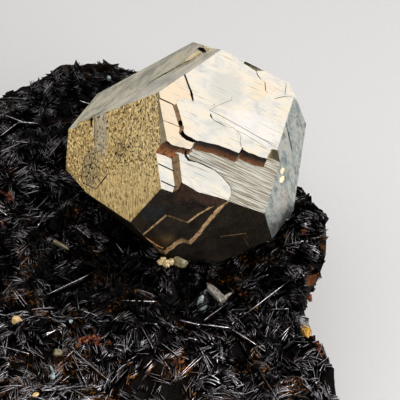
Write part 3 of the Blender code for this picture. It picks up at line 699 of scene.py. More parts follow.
# Open sutures: face, level of the surface in mm and filling, then each one's width and depth
# in mm and its route in the face's frame.
SUTURES = [
    ("bright", 1.74, "notch", [
        (0.6, 0.5, [(-0.2, 8.25), (0.7, 8.2), (1.5, 8.2), (2.3, 8.5)])]),
    ("bright", 1.68, "suture", [
        (0.1, 0.4, [(-6.9, 4.6), (-6.19, 3.45), (-5.37, 2.45), (-4.8, 1.83)]),
        (0.22, 0.5, [(-4.9, 1.95), (-4.6, 1.5), (-4.25, 0.9)])]),
    ("bright", 1.55, "suture", [
        (0.1, 0.3, [(-7.9, -0.62), (-6.85, -0.6), (-6.0, -0.62)]),
        (0.1, 0.3, [(-6.6, -2.95), (-5.53, -2.89), (-4.5, -2.86)]),
        (0.4, 0.6, [(-4.8, -2.2), (-4.62, -2.45), (-4.4, -2.75)]),
        (0.36, 0.5, [(-4.15, -3.3), (-3.8, -3.72), (-3.2, -3.85), (-2.4, -3.85)]),
        (0.2, 0.9, [(3.02, -2.9), (3.1, -2.5), (3.16, -2.1)])]),
    ("bright", 1.74, "suture", [
        (0.2, 0.5, [(1.3, 8.1), (1.88, 7.37), (2.2, 7.2), (2.5, 7.1)]),
        (0.17, 0.4, [(2.4, 7.15), (2.96, 6.91), (3.34, 6.02), (3.96, 5.75)]),
        (0.13, 0.3, [(3.9, 5.75), (4.72, 5.55), (5.13, 5.92), (5.87, 6.46), (6.8, 6.92)]),
        (0.08, 0.3, [(5.35, 8.1), (5.55, 7.3), (5.7, 6.6)])]),
    ("bright", 1.92, "suture", [
        (0.16, 0.3, [(-1.8, 1.52), (-1.66, 1.42)]),
        (0.22, 0.3, [(-1.78, 0.15), (-1.62, -0.08), (-1.4, -0.28)]),
        (0.09, 0.2, [(-1.4, -0.28), (-1.0, -0.44), (-0.15, -0.44), (0.45, -0.53)]),
        (0.04, 0.12, [(0.45, -0.53), (1.29, -0.26), (1.98, -0.49), (2.49, -0.89), (2.64, -1.63),
            (3.08, -2.3)]),
        (0.06, 0.12, [(-2.0, 0.55), (-0.63, 0.5), (2.18, 0.26), (4.37, 0.04), (6.66, -0.22)]),
        (0.04, 0.1, [(0.3, -0.44), (2.68, -0.38), (3.75, -0.5), (6.12, -0.9)]),
        (0.04, 0.1, [(-2.0, 0.55), (-1.51, 1.29), (-0.64, 2.29), (-0.09, 2.9), (-0.11, 3.38)])]),
    ("bright", 0.74, "suture", [
        (0.3, 0.5, [(-2.9, -5.0), (-2.5, -5.55), (-2.1, -5.8), (-1.1, -5.62)]),
        (0.24, 0.35, [(-1.4, -5.65), (-0.31, -5.55), (0.5, -5.56), (1.4, -5.58)]),
        (0.17, 0.3, [(1.1, -5.58), (2.31, -5.97), (3.0, -6.36), (3.6, -6.65), (3.85, -7.28)]),
        (0.05, 0.15, [(3.85, -7.28), (3.95, -7.87), (3.87, -8.6)])]),
    ("bright", 0.62, "suture", [
        (0.06, 0.15, [(4.1, -7.0), (5.6, -6.95), (8.2, -6.75)]),
        (0.06, 0.15, [(4.0, -7.9), (6.1, -7.8), (8.2, -7.5)]),
        (0.04, 0.1, [(3.4, -5.9), (5.6, -5.75), (8.0, -5.5)])]),
    ("bright", 0.0, "suture", [
        (0.3, 0.4, [(-5.1, -7.48), (-3.1, -7.5)]),
        (0.3, 0.4, [(-4.1, -9.3), (-2.2, -9.31)])]),
    ("right", 0.0, "suture", [
        (0.22, 0.35, [(-5.3, 2.7), (-3.4, 2.0), (-1.35, 1.2)])]),
    ("right", 0.0, "cream", [
        (0.7, 0.05, [(-2.6, -2.4), (-2.24, -1.99), (-1.9, -1.55)]),
        (0.8, 0.05, [(-2.1, -3.3), (-1.67, -2.82), (-1.2, -2.3)])]),
    # a black groove along a step of the crown; its black is painted shadow of the step
    ("crown_far", 0.0, "suture", [
        (0.3, 0.3, [(1.6, 1.2), (3.02, -0.55), (4.0, -2.1), (4.5, -3.0)])]),
    # painted highlight: a broad cream strip where a small riser at the crown's edge catches the light
    ("crown_far", 0.0, "cream", [
        (3.2, 0.05, [(4.35, -3.35), (5.4, -4.0), (6.2, -4.4), (6.5, -4.6)])]),
    ("crown_far", 0.0, "suture", [
        (0.6, 0.4, [(6.6, -4.9), (7.2, -3.9), (7.9, -2.7)])]),
    ("crown_far", 0.0, "cream", [
        (1.2, 0.05, [(8.4, -3.6), (7.4, -5.2), (6.4, -7.0), (5.3, -9.1)])]),
    ("left", 0.0, "suture", [
        (0.2, 0.5, [(-2.62, 1.88), (-3.4, 3.2), (-4.11, 4.42)]),
        (0.1, 0.2, [(-4.1, 4.4), (-2.88, 6.89), (-2.04, 7.17), (0.2, 6.45), (0.35, 3.6)]),
        (0.5, 0.5, [(5.0, 4.9), (4.4, 4.9), (3.5, 5.0)]),
        (0.14, 0.3, [(5.0, 4.25), (3.0, 4.3), (1.2, 4.4)])]),
    ("lower", 0.0, "band", [
        (0.1, 0.15, [(2.27, -3.43), (3.6, -4.3), (4.93, -5.12), (4.54, -5.69)]),
        (0.08, 0.15, [(4.19, -5.6), (3.74, -6.79)])]),
    ("lower", 0.42, "band", [
        (0.34, 0.1, [(-3.98, 2.8), (-3.85, 1.7), (-3.78, 0.6), (-3.62, -0.1)])]),
]
# Fine mesh of each face: spacing along and across the striae in mm
FACE_GRID = {"left": (0.17, 0.17), "bright": (0.6, 0.13), "crown": (0.8, 0.16),
             "crown_far": (0.8, 0.16), "right": (0.7, 0.16), "lower": (0.7, 0.16)}
OTHER_GRID = (0.9, 0.3)


def face_distance(name):
    """How far a face's plane lies from the crystal's centre, in mm."""
    return (FACES.get(name) or VICINAL[name])[2]


def face_matrix(name, level):
    """Places face-frame coordinates in the crystal, at a level in mm above the face plane."""
    across, along, normal = face_frame(name)
    matrix = Matrix((across, along, normal)).transposed().to_4x4()
    matrix.translation = normal * (face_distance(name) + level) * MM
    return matrix


def slice_off(bm, normal, distance):
    """Cut a convex blank with a plane, drop what lies outside it and close the cut."""
    cut = bmesh.ops.bisect_plane(bm, geom=bm.verts[:] + bm.edges[:] + bm.faces[:], dist=1e-9,
                                 plane_co=normal * distance, plane_no=normal, clear_outer=True)
    rim = [item for item in cut["geom_cut"] if isinstance(item, bmesh.types.BMEdge)]
    if rim:
        bmesh.ops.contextual_create(bm, geom=rim)


def ragged(points, rough_by, rng):
    """A broken outline: each side gets small kinks, except far outside the face."""
    result = []
    for (u0, v0), (u1, v1) in zip(points, points[1:] + points[:1]):
        result.append((u0, v0))
        run = math.hypot(u1 - u0, v1 - v0)
        if rough_by and run < LONGEST_RUN:
            kinks = int(run / KINK_GAP)
            for k in range(kinks):
                share = (k + rng.uniform(0.7, 1.3)) / (kinks + 1)
                off = rng.uniform(-rough_by, rough_by)
                result.append((u0 + (u1 - u0) * share - (v1 - v0) / run * off,
                               v0 + (v1 - v0) * share + (u1 - u0) / run * off))
    return result


def prism_of(points, low, high, lean):
    """A closed prism on an outline in mm, leaned over; the outline is true at level 0."""
    bm = bmesh.new()
    rows = []
    for level in (low, high):
        leaned = [(u - lean[0] * level, v - lean[1] * level) for u, v in points]
        rows.append([bm.verts.new((u * MM, v * MM, level * MM)) for u, v in leaned])
    bm.faces.new(rows[0])
    bm.faces.new(rows[1])
    count = len(points)
    for i in range(count):
        j = (i + 1) % count
        bm.faces.new((rows[0][i], rows[0][j], rows[1][j], rows[1][i]))
    return bm


def suture_solid(route, wide, deep):
    """A thin wall along a route in mm, that cuts an open suture; it narrows at its ends."""
    left, right = [], []
    for index, (u, v) in enumerate(route):
        before = Vector(route[max(0, index - 1)])
        after = Vector(route[min(len(route) - 1, index + 1)])
        run = (after - before).normalized()
        half = wide * (0.25 if index in (0, len(route) - 1) else 0.5)
        left.append((u - run.y * half, v + run.x * half))
        right.append((u + run.y * half, v - run.x * half))
    return prism_of(left + right[::-1], -deep, deep, UPRIGHT)


def subtract(target, bm, matrix, mat):
    """Cut a solid out of the target; the cut faces take that material."""
    bmesh.ops.recalc_face_normals(bm, faces=bm.faces[:])
    tool = new_object("tool", bm, mat)
    tool.matrix_world = matrix
    mod = target.modifiers.new("cut", "BOOLEAN")
    mod.operation = "DIFFERENCE"
    mod.solver = "EXACT"
    mod.material_mode = "TRANSFER"
    mod.object = tool
    bpy.context.view_layer.update()
    evaluated = target.evaluated_get(bpy.context.evaluated_depsgraph_get())
    result = bpy.data.meshes.new_from_object(evaluated)
    target.modifiers.clear()
    spent = [target.data, tool.data]
    target.data = result
    bpy.data.objects.remove(tool)
    for mesh in spent:
        bpy.data.meshes.remove(mesh)


def patch_on_face(tree, spot, middle, reach):
    """A soft-edged patch: 1 within a reach of its middle (u, v and level in mm), 0 outside."""
    away = add(tree, "VectorMath", {0: spot, 1: middle}, operation="SUBTRACT")
    share = add(tree, "VectorMath", {0: away, 1: reach}, operation="DIVIDE")
    far = add(tree, "VectorMath", {0: share}, operation="LENGTH")
    wobble = add(tree, "TexNoise", {"Vector": spot, "Scale": 0.9, "Detail": 4.0})
    edge = add(tree, "Math", {0: far, 1: wobble}, operation="ADD")
    return add(tree, "MapRange", {0: edge, 1: 1.75, 2: 1.35})


def pyrite_skin(name, tones, cloud, line, stripe, line_from, pit, pit_from, shine, relief, metal,
                stretch=0.07, patches=()):
    """Pyrite as one face shows it. Tones are the stops of its soft clouds; line is the tone of its
    striae, and stretch their thickness for their length. Cloud, stripe, pit and relief are sizes
    in mm, and line_from and pit_from are the noise levels where striae and pits begin. A patch is
    a colour, a middle and a half size in mm, its strength, and what it adds to striae and pits."""
    mat, tree, shader = new_material(name, Metallic=metal)
    spot = add(tree, "Attribute", attribute_name="face_place").outputs["Vector"]
    drift = add(tree, "Mapping", {"Vector": spot, "Scale": (0.6, 1, 1)})
    soft = add(tree, "TexNoise", {"Vector": drift, "Scale": 1 / cloud, "Detail": 8.0,
                                  "Roughness": 0.68, "Distortion": 0.4})
    body = add(tree, "ValToRGB", {0: soft}, tones)
    longer = add(tree, "Mapping", {"Vector": spot, "Scale": (stretch / stripe, 1 / stripe, 1 / stripe)})
    striae = add(tree, "TexNoise", {"Vector": longer, "Scale": 1.0, "Detail": 3.0, "Roughness": 0.6})
    drawn = add(tree, "Mapping", {"Vector": spot, "Scale": (0.45 / pit, 1 / pit, 1 / pit)})
    specks = add(tree, "TexNoise", {"Vector": drawn, "Scale": 1.0, "Detail": 2.0, "Roughness": 0.5})
    striped, pitted = striae, specks
    for colour, middle, reach, strength, more_lines, more_pits in patches:
        inside = patch_on_face(tree, spot, middle, reach)
        share = add(tree, "Math", {0: inside, 1: strength}, operation="MULTIPLY")
        body = add(tree, "Mix", {0: share, 6: body, 7: colour}, data_type="RGBA")
        striped = add(tree, "Math", {0: inside, 1: more_lines, 2: striped}, operation="MULTIPLY_ADD")
        pitted = add(tree, "Math", {0: inside, 1: more_pits, 2: pitted}, operation="MULTIPLY_ADD")
    lines = add(tree, "MapRange", {0: striped, 1: line_from, 2: line_from + 0.12})
    lined = add(tree, "Mix", {0: lines, 6: body, 7: line}, data_type="RGBA")
    holes = add(tree, "MapRange", {0: pitted, 1: pit_from, 2: pit_from + 0.05})
    dark = add(tree, "Mix", {0: holes, 6: lined, 7: SUTURE_BLACK}, data_type="RGBA")
    gloss = add(tree, "MapRange", {0: specks, 3: shine * 0.8, 4: shine * 1.3})
    low_relief = add(tree, "Math", {0: striped, 1: pitted}, operation="SUBTRACT")
    bumpy = add(tree, "Bump", {"Strength": 1.0, "Distance": relief * MM, "Height": low_relief})
    connect(shader, {"Base Color": dark, "Roughness": gloss, "Normal": bumpy})
    return mat


def oxide_coat(name, brown, darker, wear, under=None):
    """A thin crust of iron oxide on a broken ledge: dull and blotchy, and metallic where rubbed through.
    Given under, the crust is painted black towards the plate's rim above it, as painted shadow;
    under is the rim's direction and its distance in mm."""
    mat, tree, shader = new_material(name, Metallic=wear)
    place = add(tree, "TexCoord").outputs["Object"]
    crust = add(tree, "TexNoise",
                {"Vector": place, "Scale": 1 / CRUST_BLOTCH, "Detail": 5.0, "Roughness": 0.65})
    tone = add(tree, "MapRange", {0: crust, 1: 0.35, 2: 0.65})
    body = add(tree, "Mix", {0: tone, 6: darker, 7: brown}, data_type="RGBA")
    if under:
        # painted shadow: the crust turns black towards the rim above it and stays brown at its foot
        spot = add(tree, "Attribute", attribute_name="face_place").outputs["Vector"]
        level = add(tree, "VectorMath", {0: spot, 1: under[0]}, operation="DOT_PRODUCT")
        wavy = add(tree, "Math", {0: crust, 1: 1.2, 2: level}, operation="MULTIPLY_ADD")
        shade = add(tree, "MapRange", {0: wavy, 1: under[1] - 0.8, 2: under[1] + 0.25})
        body = add(tree, "Mix", {0: shade, 6: body, 7: SUTURE_BLACK}, data_type="RGBA")
    gloss = add(tree, "MapRange", {0: crust, 3: 0.35, 4: 0.6})
    bumpy = add(tree, "Bump", {"Strength": 0.6, "Distance": 0.05 * MM, "Height": crust})
    connect(shader, {"Base Color": body, "Roughness": gloss, "Normal": bumpy})
    return mat


# Clean pyrite is a metal like pale brass. The crown is greyer, the left face is pitted by the
# grains it grew against, the bright one is almost a mirror, the right one looks like steel,
# and the lower one is dark with tarnish and with a painted reflection of the dark rock it faces.
ANY = 99  # the patch is on every level
grey_skin = pyrite_skin(
    "pyrite_grey_face", [(0.36, "#7f7a66"), (0.46, "#b0a990"), (0.55, "#dcd4b8"), (0.66, "#e2cf9c")],
    cloud=2.6, line="#7a725c", stripe=0.35, line_from=0.64, pit=0.5, pit_from=0.80, shine=0.24,
    relief=0.008, metal=0.6, stretch=0.07,
    patches=[
        ("#dfd8ba", (3.6, -0.8, 0), (2.2, 1.8, ANY), 0.7, -0.10, 0.0),
        ("#8d8772", (-1.0, -1.5, 0), (1.8, 2.8, ANY), 0.5, 0.0, 0.0)])
SKINS = {
    "left": pyrite_skin(
        "pyrite_granular", [(0.35, "#6a5432"), (0.45, "#b09966"), (0.54, "#cdb781"), (0.65, "#f6e8be")],
        cloud=0.33, line="#66522e", stripe=0.20, line_from=0.58, pit=0.16, pit_from=0.572, shine=0.36,
        relief=0.05, metal=1.0, stretch=0.16,
        patches=[
            ("#aaa798", (3.4, 3.2, 0), (3.6, 1.3, ANY), 0.8, 0.03, -0.10),
            ("#b9a473", (-6.5, 0.0, 0), (3.2, 9.0, ANY), 0.3, 0.05, -0.07),
            ("#e6d6a6", (1.0, -5.6, 0), (7.0, 3.4, ANY), 0.3, 0.0, 0.03),
            ("#d8c694", (-5.0, -1.0, 0), (3.0, 6.0, ANY), 0.4, 0.0, 0.0),
            ("#8f815c", (-0.3, -0.4, 0), (1.2, 1.1, ANY), 0.4, 0.0, 0.06),
            ("#9a9078", (-1.4, 5.2, 0), (2.2, 1.6, ANY), 0.6, 0.0, 0.02)]),
    "bright": pyrite_skin(
        "pyrite_mirror_face",
        [(0.32, "#b6b6b0"), (0.44, "#cac8c1"), (0.53, "#d5cfc1"), (0.60, "#d9ceba"), (0.70, "#d6c2b8")],
        cloud=1.6, line="#82796a", stripe=0.15, line_from=0.61, pit=0.40, pit_from=0.80, shine=0.24,
        relief=0.010, metal=1.0, stretch=0.04,
        patches=[
            ("#b6b6aa", (6.0, -5.5, 0.62), (9.0, 9.0, 0.10), 0.85, 0.17, 0.0),
            ("#bcbfbc", (0.0, -6.0, 0.78), (2.6, 1.5, ANY), 0.6, 0.03, 0.0),
            ("#bcbcb6", (-1.0, 4.0, 0), (1.9, 2.2, ANY), 0.7, 0.0, 0.0),
            ("#dcc7a0", (2.6, 5.6, 0), (0.9, 1.3, ANY), 0.45, 0.0, 0.0),
            ("#dfdcda", (3.5, 1.0, 0), (3.0, 1.6, ANY), 0.5, 0.0, 0.0),
            ("#dcc3a0", (-6.0, -1.0, 1.55), (4.0, 5.0, 0.2), 0.6, 0.0, 0.0)]),
    "crown": grey_skin,
    "crown_far": grey_skin,
    "right": pyrite_skin(
        "pyrite_steel_face", [(0.33, "#5c6668"), (0.44, "#929b9a"), (0.55, "#c2c6bf"), (0.65, "#c8b69e")],
        cloud=1.1, line="#6c6c66", stripe=0.26, line_from=0.58, pit=0.30, pit_from=0.68, shine=0.28,
        relief=0.015, metal=1.0, stretch=0.3,
        patches=[
            ("#bba08c", (0.5, -4.2, 0), (1.2, 1.4, ANY), 0.3, 0.0, 0.0),
            ("#c6cbc8", (0.4, -5.9, 0), (0.8, 1.4, ANY), 0.6, 0.0, 0.0),
            ("#5c6058", (2.6, -6.6, 0), (1.0, 2.2, ANY), 0.7, 0.0, 0.0)]),
    # painted reflection: the dark tones stand partly for the dark rock this face mirrors, and the
    # bluish-grey patch is a painted sheen
    "lower": pyrite_skin(
        "pyrite_dark_face", [(0.32, "#443c35"), (0.48, "#6a6056"), (0.60, "#847360"), (0.72, "#7d5030")],
        cloud=1.8, line="#a8896a", stripe=0.40, line_from=0.68, pit=0.50, pit_from=0.80, shine=0.26,
        relief=0.012, metal=0.9, stretch=0.07,
        patches=[
            ("#4a4339", (6.0, -5.0, 0), (5.0, 5.0, ANY), 0.6, 0.0, 0.0),
            ("#8a5a30", (-4.2, 0.6, 0), (1.2, 2.0, ANY), 0.6, 0.0, 0.0),
            ("#7c8086", (-0.5, 4.6, 0), (1.6, 1.0, ANY), 0.5, 0.0, 0.0)]),
}
other_skin = pyrite_skin(
    "pyrite_face", [(0.34, "#857b60"), (0.5, "#a4997b"), (0.66, "#b6a98a")],
    cloud=2.0, line="#6a5c40", stripe=0.40, line_from=0.62, pit=0.40, pit_from=0.76, shine=0.28,
    relief=0.02, metal=1.0)
# Crusts of iron oxide on what was broken or left open: brown, tan, dark or cream, and the
# thinner they are, the more of the metal shows through. The cream one also paints a highlight
# where a small riser on the crown catches the light.
WALLS = {
    # the ledge crust has a painted shadow, black under the rim of the bright face's top layer
    "ledge": oxide_coat("ledge_oxide", "#b07040", "#3a2014", 0.3,
                        (face_frame("bright")[2], face_distance("bright") + LAYERS["bright"])),
    "tan": oxide_coat("ledge_tan", "#b79a73", "#7a6248", 0.8),
    "dark": oxide_coat("ledge_dark", "#4c362a", "#221812", 0.7),
    "pyrite": other_skin,
    "suture": oxide_coat("suture_oxide", "#1d120c", SUTURE_BLACK, 0.0),
    "notch": oxide_coat("broken_pyrite", "#8a8672", "#57533f", 0.8),
    "band": oxide_coat("ledge_cream", "#d2b083", "#6e4a2c", 0.1),
    "cream": oxide_coat("cream_pyrite", "#fff0cc", "#e6cc9c", 0.2),
}

# a cube is cut down to the crystal, and then its growth layers and its sutures are cut
rng = random.Random(CRYSTAL_SEED)
bm = bmesh.new()
bmesh.ops.create_cube(bm, size=BLANK_SIDE)
for name, (_, _, distance, _) in FACES.items():
    slice_off(bm, face_frame(name)[2], (distance + LAYERS.get(name, 0.0)) * MM)
for miller, distance in CORNERS.values():
    slice_off(bm, Vector(miller).normalized(), distance * MM)
bmesh.ops.recalc_face_normals(bm, faces=bm.faces[:])
crystal = new_object("pyrite", bm, other_skin)
for face, level, lean, finish, ragged_by, points in LEDGES:
    top = LAYERS[face]
    solid = prism_of(ragged(points, ragged_by, rng), level - top, CUT_ABOVE, lean)
    subtract(crystal, solid, face_matrix(face, top), WALLS[finish])
for face, level, filling, cuts in SUTURES:
    for wide, deep, route in cuts:
        subtract(crystal, suture_solid(route, wide, deep), face_matrix(face, level), WALLS[filling])

FRAMES = {name: face_frame(name) for name in [*FACES, *VICINAL]}


def facet_of(face):
    """The crystal face that a polygon belongs to, or None on a ledge."""
    for name, (_, _, square) in FRAMES.items():
        level = face.calc_center_median().dot(square) / MM - face_distance(name)
        if face.normal.dot(square) > SAME_PLANE and -0.2 < level < 2.0:
            return name
    return None


def surface_relief(name, u, v, level):
    """Height of the growth relief in mm at a place on a face."""
    seed = face_distance(name)
    striae = wave(u * 0.12, v * 4.2, seed)
    swell = wave(u * 0.35, v * 0.5, 5 + seed)
    if name == "left":
        grain = wave(u * 1.9, v * 3.2, 1.0)
        pit = wave(u * 2.4, v * 3.8, 7.0)
        patchy = wave(u * 0.25, v * 0.25, 2.0)
        hole = max(0.0, pit - 0.30) * 0.7 * clamp(0.9 + patchy + u * 0.12)
        return 0.03 * grain + 0.02 * striae + 0.03 * swell - hole
    if name == "bright":
        deep = 0.026 if level < 0.7 and u > -2.4 else 0.004
        return deep * striae + 0.02 * swell
    return 0.007 * striae + 0.03 * swell


mesh = crystal.data
for mat in [SKINS.get(name, other_skin) for name in FRAMES] + [WALLS["tan"]]:
    if mat.name not in mesh.materials:
        mesh.materials.append(mat)
index_of = {mat.name: index for index, mat in enumerate(mesh.materials)}
fillings = [index_of[WALLS[finish].name] for finish in ("suture", "notch", "cream")]
bm = bmesh.new()
bm.from_mesh(mesh)
facets = {name: [] for name in FRAMES}
for face in bm.faces:
    name = facet_of(face)
    if name and face.material_index not in fillings:
        facets[name].append(face)
place_layer = bm.loops.layers.float_vector.new("face_place")
for face in bm.faces:
    for loop in face.loops:
        loop[place_layer] = loop.vert.co / MM
# the terraces' ledges are tan where they face back, and bare pyrite at their broken end
BROKEN_END = 5.4 * MM
across = FRAMES["bright"][0]
for face in bm.faces:
    if facet_of(face) or face.material_index != index_of["ledge_oxide"]:
        continue
    turned, at = face.normal.dot(across), face.calc_center_median().dot(across)
    if turned < -0.45:
        face.material_index = index_of["ledge_tan"]
    elif at > BROKEN_END + 0.9 * MM or (turned > 0.6 and at > BROKEN_END):
        face.material_index = index_of["pyrite_face"]
# every face gets a fine mesh, in strips that are drawn out along its striae
facet_of_face = {}
for name, faces in facets.items():
    across, along, normal = FRAMES[name]
    faces = bmesh.ops.triangulate(bm, faces=faces)["faces"] if faces else faces
    geom = list({vert for face in faces for vert in face.verts})
    geom += list({edge for face in faces for edge in face.edges}) + faces
    grid = FACE_GRID.get(name, OTHER_GRID)
    for direction, gap in ((across, grid[0]), (along, grid[1])):
        spread = [vert.co.dot(direction) for face in faces for vert in face.verts]
        reach = min(spread) + gap * MM * 0.5
        while reach < max(spread):
            geom = bmesh.ops.bisect_plane(bm, geom=geom, dist=1e-7, plane_co=direction * reach,
                                          plane_no=direction)["geom"]
            reach += gap * MM * rng.uniform(0.8, 1.2)
    facets[name] = [item for item in geom if isinstance(item, bmesh.types.BMFace)]
    for face in facets[name]:
        face.material_index = index_of[SKINS.get(name, other_skin).name]
        facet_of_face[face] = name
# its loops know their place on the face, and its points rise with the relief, except at a rim
for name, faces in facets.items():
    across, along, normal = FRAMES[name]
    for face in faces:
        for loop in face.loops:
            spot = loop.vert.co / MM
            level = spot.dot(normal) - face_distance(name)
            loop[place_layer] = (spot.dot(across), spot.dot(along), level)
    for vert in {vert for face in faces for vert in face.verts}:
        if all(facet_of_face.get(face) == name for face in vert.link_faces):
            spot = vert.co / MM
            level = spot.dot(normal) - face_distance(name)
            vert.co += normal * surface_relief(name, spot.dot(across), spot.dot(along), level) * MM
bm.transform(Matrix.Translation(CRYSTAL_CENTRE) @ turn.to_4x4())
bm.to_mesh(mesh)
bm.free()
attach(crystal, "root")
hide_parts("pyrite_crystal")

# ------------------------------------------------------------
# The small quartz crystals and grains. They sit on the blades: a milky cream cluster at the
# crystal's foot, a clear amber crystal at the right-hand rim, and single cream and grey ones.
QUARTZ_IOR = 1.54
GRAIN_SPECK = 0.3 * MM  # clouds and flaws in the quartz


def quartz_skin(name, pale, deep, see_through, relief):
    """Milky quartz: a pale and a deep tone in small clouds under a glassy skin. See_through is
    the share of light that goes in, and relief is how rough the skin is in mm."""
    mat, tree, shader = new_material(name, Roughness=0.22, IOR=QUARTZ_IOR,
                                     Transmission_Weight=see_through)
    place = add(tree, "TexCoord").outputs["Object"]
    cloud = add(tree, "TexNoise",
                {"Vector": place, "Scale": 1 / GRAIN_SPECK, "Detail": 3.0, "Roughness": 0.6})
    tone = add(tree, "MapRange", {0: cloud, 1: 0.38, 2: 0.62})
    body = add(tree, "Mix", {0: tone, 6: pale, 7: deep}, data_type="RGBA")
    bumpy = add(tree, "Bump", {"Strength": 0.5, "Distance": relief * MM, "Height": cloud})
    connect(shader, {"Base Color": body, "Normal": bumpy})
    return mat


def seat_matrix(x, y, rise, turn):
    """Stands a crystal on the rock at a place and a rise in mm, turned by angles in degrees."""
    seat = Matrix.Translation(Vector((x, y, slab_height(x, y) + rise)) * MM)
    return seat @ Euler([math.radians(angle) for angle in turn]).to_matrix().to_4x4()


def add_grain(bm, place, size, turn, seed, chipped):
    """A broken grain: a ball of given size in mm, flattened by a number of old faces. Its place
    is x, y and the rise over the rock in mm, and its turn is in degrees."""
    seat = seat_matrix(*place, turn)
    made = bmesh.ops.create_icosphere(bm, subdivisions=3, radius=0.5)["verts"]
    rng = random.Random(seed)
    chips = [(Vector([rng.gauss(0, 1) for _ in range(3)]).normalized(), rng.uniform(0.3, 0.45))
             for _ in range(chipped)]
    for vert in made:
        for normal, reach in chips:
            out = vert.co.dot(normal) - reach
            if out > 0:
                vert.co -= normal * out
        vert.co *= 1 + 0.16 * noise.noise(vert.co * 3 + Vector((seed, 0, 0)))
        vert.co = seat @ (vert.co * Vector(size) * MM)


def add_prism(bm, place, length, width, turn):
    """A six-sided quartz crystal with a pointed end, rooted in the rock."""
    seat = seat_matrix(*place, turn)
    shaft = 0.75 * length * MM
    foot = Matrix.Translation((0, 0, -0.35 * length * MM + shaft / 2))
    made = bmesh.ops.create_cone(bm, cap_ends=True, segments=6, radius1=width * MM / 2,
                                 radius2=width * MM / 2.3, depth=shaft, matrix=seat @ foot)
    top = max(made["verts"], key=lambda vert: (seat.inverted() @ vert.co).z)
    cap = max(top.link_faces, key=lambda face: len(face.verts))
    tip = bmesh.ops.poke(bm, faces=[cap])["verts"][0]
    tip.co += seat.to_3x3() @ Vector((0.15 * width, 0, 0.25 * length)) * MM


def finish_piece(name, bm, mat, replaced=None):
    """Turn a bmesh into a piece of the specimen that rides on its one body."""
    bmesh.ops.recalc_face_normals(bm, faces=bm.faces[:])
    piece = new_object(name, bm, mat)
    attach(piece, "root")
    if replaced:
        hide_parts(replaced)


# a knobbly cream cluster
bm = bmesh.new()
for index, (x, y, rise, size) in enumerate([
        (8.3, -4.9, 1.0, (0.9, 0.7, 0.8)), (9.0, -4.8, 1.15, (1.1, 0.8, 1.1)),
        (9.5, -4.5, 1.3, (0.8, 0.8, 1.0)), (9.0, -5.3, 1.0, (0.9, 0.8, 0.7)),
        (8.6, -4.4, 1.4, (0.7, 0.6, 0.7)), (9.6, -4.1, 1.4, (0.6, 0.6, 0.7))]):
    add_grain(bm, (x, y, rise), size, (20 * index, 35, 50 * index), index, 9)
milky = quartz_skin("milky_quartz", "#d9c293", "#b39a6a", see_through=0.1, relief=0.05)
finish_piece("quartz_cluster", bm, milky, "quartz_front")

# a translucent tabular grain beside it, and a few tan ones further left
bm = bmesh.new()
add_grain(bm, (10.6, -4.5, 1.25), (1.8, 0.7, 1.7), (-25, 20, -10), 31, 6)
add_grain(bm, (-2.9, -19.6, 0.9), (1.4, 0.9, 0.8), (0, 10, 15), 32, 6)
add_prism(bm, (-3.6, -0.7, 1.2), 2.55, 0.5, (-86, 0, 228))
smoky = quartz_skin("smoky_quartz", "#8f8360", "#6e6348", see_through=0.25, relief=0.02)
finish_piece("quartz_tablet", bm, smoky)

# the cream grain on the left
bm = bmesh.new()
add_grain(bm, (-7.75, -15.1, 0.95), (1.4, 1.1, 1.1), (20, 10, 0), 12, 5)
add_grain(bm, (-7.2, -15.4, 0.85), (0.5, 0.5, 0.5), (0, 0, 0), 13, 5)
add_grain(bm, (-5.0, -25.7, 1.2), (0.8, 0.5, 0.5), (0, 0, 30), 14, 5)
cream = quartz_skin("cream_quartz", "#efcf95", "#e2b878", see_through=0.05, relief=0.02)
finish_piece("quartz_pebble", bm, cream, "quartz_cream")

# the long grey crystal, with a thin one crossing its end
bm = bmesh.new()
add_prism(bm, (14.9, -9.2, 0.85), 3.4, 1.1, (-82, 0, 39))
add_prism(bm, (15.6, -9.9, 1.0), 1.9, 0.45, (-80, 0, -52))
grey = quartz_skin("grey_quartz", "#a39c90", "#5f5852", see_through=0.1, relief=0.03)
finish_piece("quartz_sticks", bm, grey, "quartz_grey")

# the amber crystal at the rim, grey at its root and golden at its tip
bm = bmesh.new()
add_prism(bm, (24.55, -13.8, 0.7), 4.0, 1.3, (-84, 0, 195))
add_prism(bm, (24.2, -13.3, 0.6), 2.6, 0.8, (-80, 0, 200))
# clear quartz coloured by iron: light sinks in, so that it glows gold at its tip
amber, tree, shader = new_material("amber_quartz", Roughness=0.12, IOR=QUARTZ_IOR,
                                   Transmission_Weight=0.35)
place = add(tree, "TexCoord").outputs["Object"]
along = add(tree, "SeparateXYZ", {0: place}).outputs["Y"]
tip = add(tree, "MapRange", {0: along, 1: -14.2 * MM, 2: -15.2 * MM})
cloud = add(tree, "TexNoise", {"Vector": place, "Scale": 1 / GRAIN_SPECK})
flaw = add(tree, "MapRange", {0: cloud, 1: 0.40, 2: 0.60})
root_tone = add(tree, "Mix", {0: flaw, 6: "#4c4540", 7: "#c9cbd0"}, data_type="RGBA")
gold = add(tree, "Mix", {0: flaw, 6: "#a05f10", 7: "#f2c052"}, data_type="RGBA")
body = add(tree, "Mix", {0: tip, 6: root_tone, 7: gold}, data_type="RGBA")
connect(shader, {"Base Color": body})
finish_piece("amber_crystal", bm, amber, "quartz_amber")

# bluish and grey-white specks
bm = bmesh.new()
for index, (x, y, rise, size) in enumerate([
        (12.9, -9.8, 1.2, (0.7, 0.5, 1.9)), (13.2, -10.7, 0.9, (0.6, 0.45, 1.8)),
        (-1.6, -15.3, 1.1, (0.8, 0.5, 0.4)), (1.3, 28.9, 1.0, (0.6, 0.6, 0.5)),
        (-3.3, -22.5, 1.2, (0.8, 0.7, 0.9)), (-3.4, -21.6, 1.1, (0.3, 1.3, 0.3)),
        (6.5, -19.0, 1.1, (0.6, 0.4, 0.45))]):
    add_grain(bm, (x, y, rise), size, (30 * index, 20, 40 * index), 50 + index, 7)
pale = quartz_skin("pale_quartz", "#b5c2c4", "#76827f", see_through=0.1, relief=0.03)
finish_piece("quartz_specks", bm, pale)

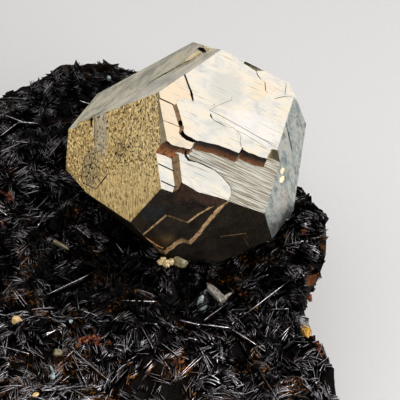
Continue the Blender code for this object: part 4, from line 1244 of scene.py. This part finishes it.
# ------------------------------------------------------------
# The iron oxide. Earthy red-brown and orange lumps have grown over the hematite on the near
# side and along the right-hand rim. They are dull and crumbly.
OXIDE_SEED = 8
OXIDE_TONES = [(0.34, "#0f0807"), (0.44, "#361915"), (0.55, "#6b3629"), (0.68, "#b07022")]
OXIDE_CRUMB = 0.25 * MM
# Heaps: middle in mm, half size in mm, how high they stand, how many grains
OXIDE_HEAPS = [((1.0, -18.1), (2.3, 0.9), 0.8, 44), ((25.0, 0.1), (0.5, 0.6), 0.5, 7),
               ((-10.3, 10.5), (1.3, 0.9), 0.5, 12), ((26.2, -18.0), (0.6, 1.6), 0.4, 12),
               ((25.4, -10.4), (0.2, 0.8), 0.4, 5), ((-14.5, -9.0), (0.9, 0.9), 0.5, 7),
               ((17.5, -9.1), (0.2, 0.2), 0.7, 3), ((-11.1, 5.9), (0.3, 0.2), 0.6, 3),
               ((11.1, -21.0), (0.8, 0.5), 0.5, 9)]
rng = random.Random(OXIDE_SEED)
bm = bmesh.new()
for (x, y), (wide, deep), high, grains in OXIDE_HEAPS:
    for index in range(grains):
        east, north = rng.gauss(0, 0.45), rng.gauss(0, 0.45)
        top = high * max(0.0, 1 - math.hypot(east, north))
        size = [rng.uniform(0.25, 0.6) for _ in range(3)]
        add_grain(bm, (x + east * wide, y + north * deep, 0.3 + top), size,
                  (0, 0, 40 * index), 70 + index, 4)
bmesh.ops.subdivide_edges(bm, edges=bm.edges[:], cuts=1, use_grid_fill=True)
for vert in bm.verts:
    vert.co += vert.co.normalized() * 0.16 * MM * rough(vert.co, OXIDE_CRUMB, 4)
# earthy goethite and hematite powder: dull, from near black to orange, with no shine at all
oxide, tree, shader = new_material("earthy_iron_oxide", Roughness=0.85, Specular_IOR_Level=0.2)
place = add(tree, "TexCoord").outputs["Object"]
grain = add(tree, "TexNoise", {"Vector": place, "Scale": 1 / RUST_GRAIN, "Detail": 5.0, "Roughness": 0.65})
rust = add(tree, "ValToRGB", {0: grain}, OXIDE_TONES)
connect(shader, {"Base Color": rust})
finish_piece("iron_oxide_lumps", bm, oxide)

low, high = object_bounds()
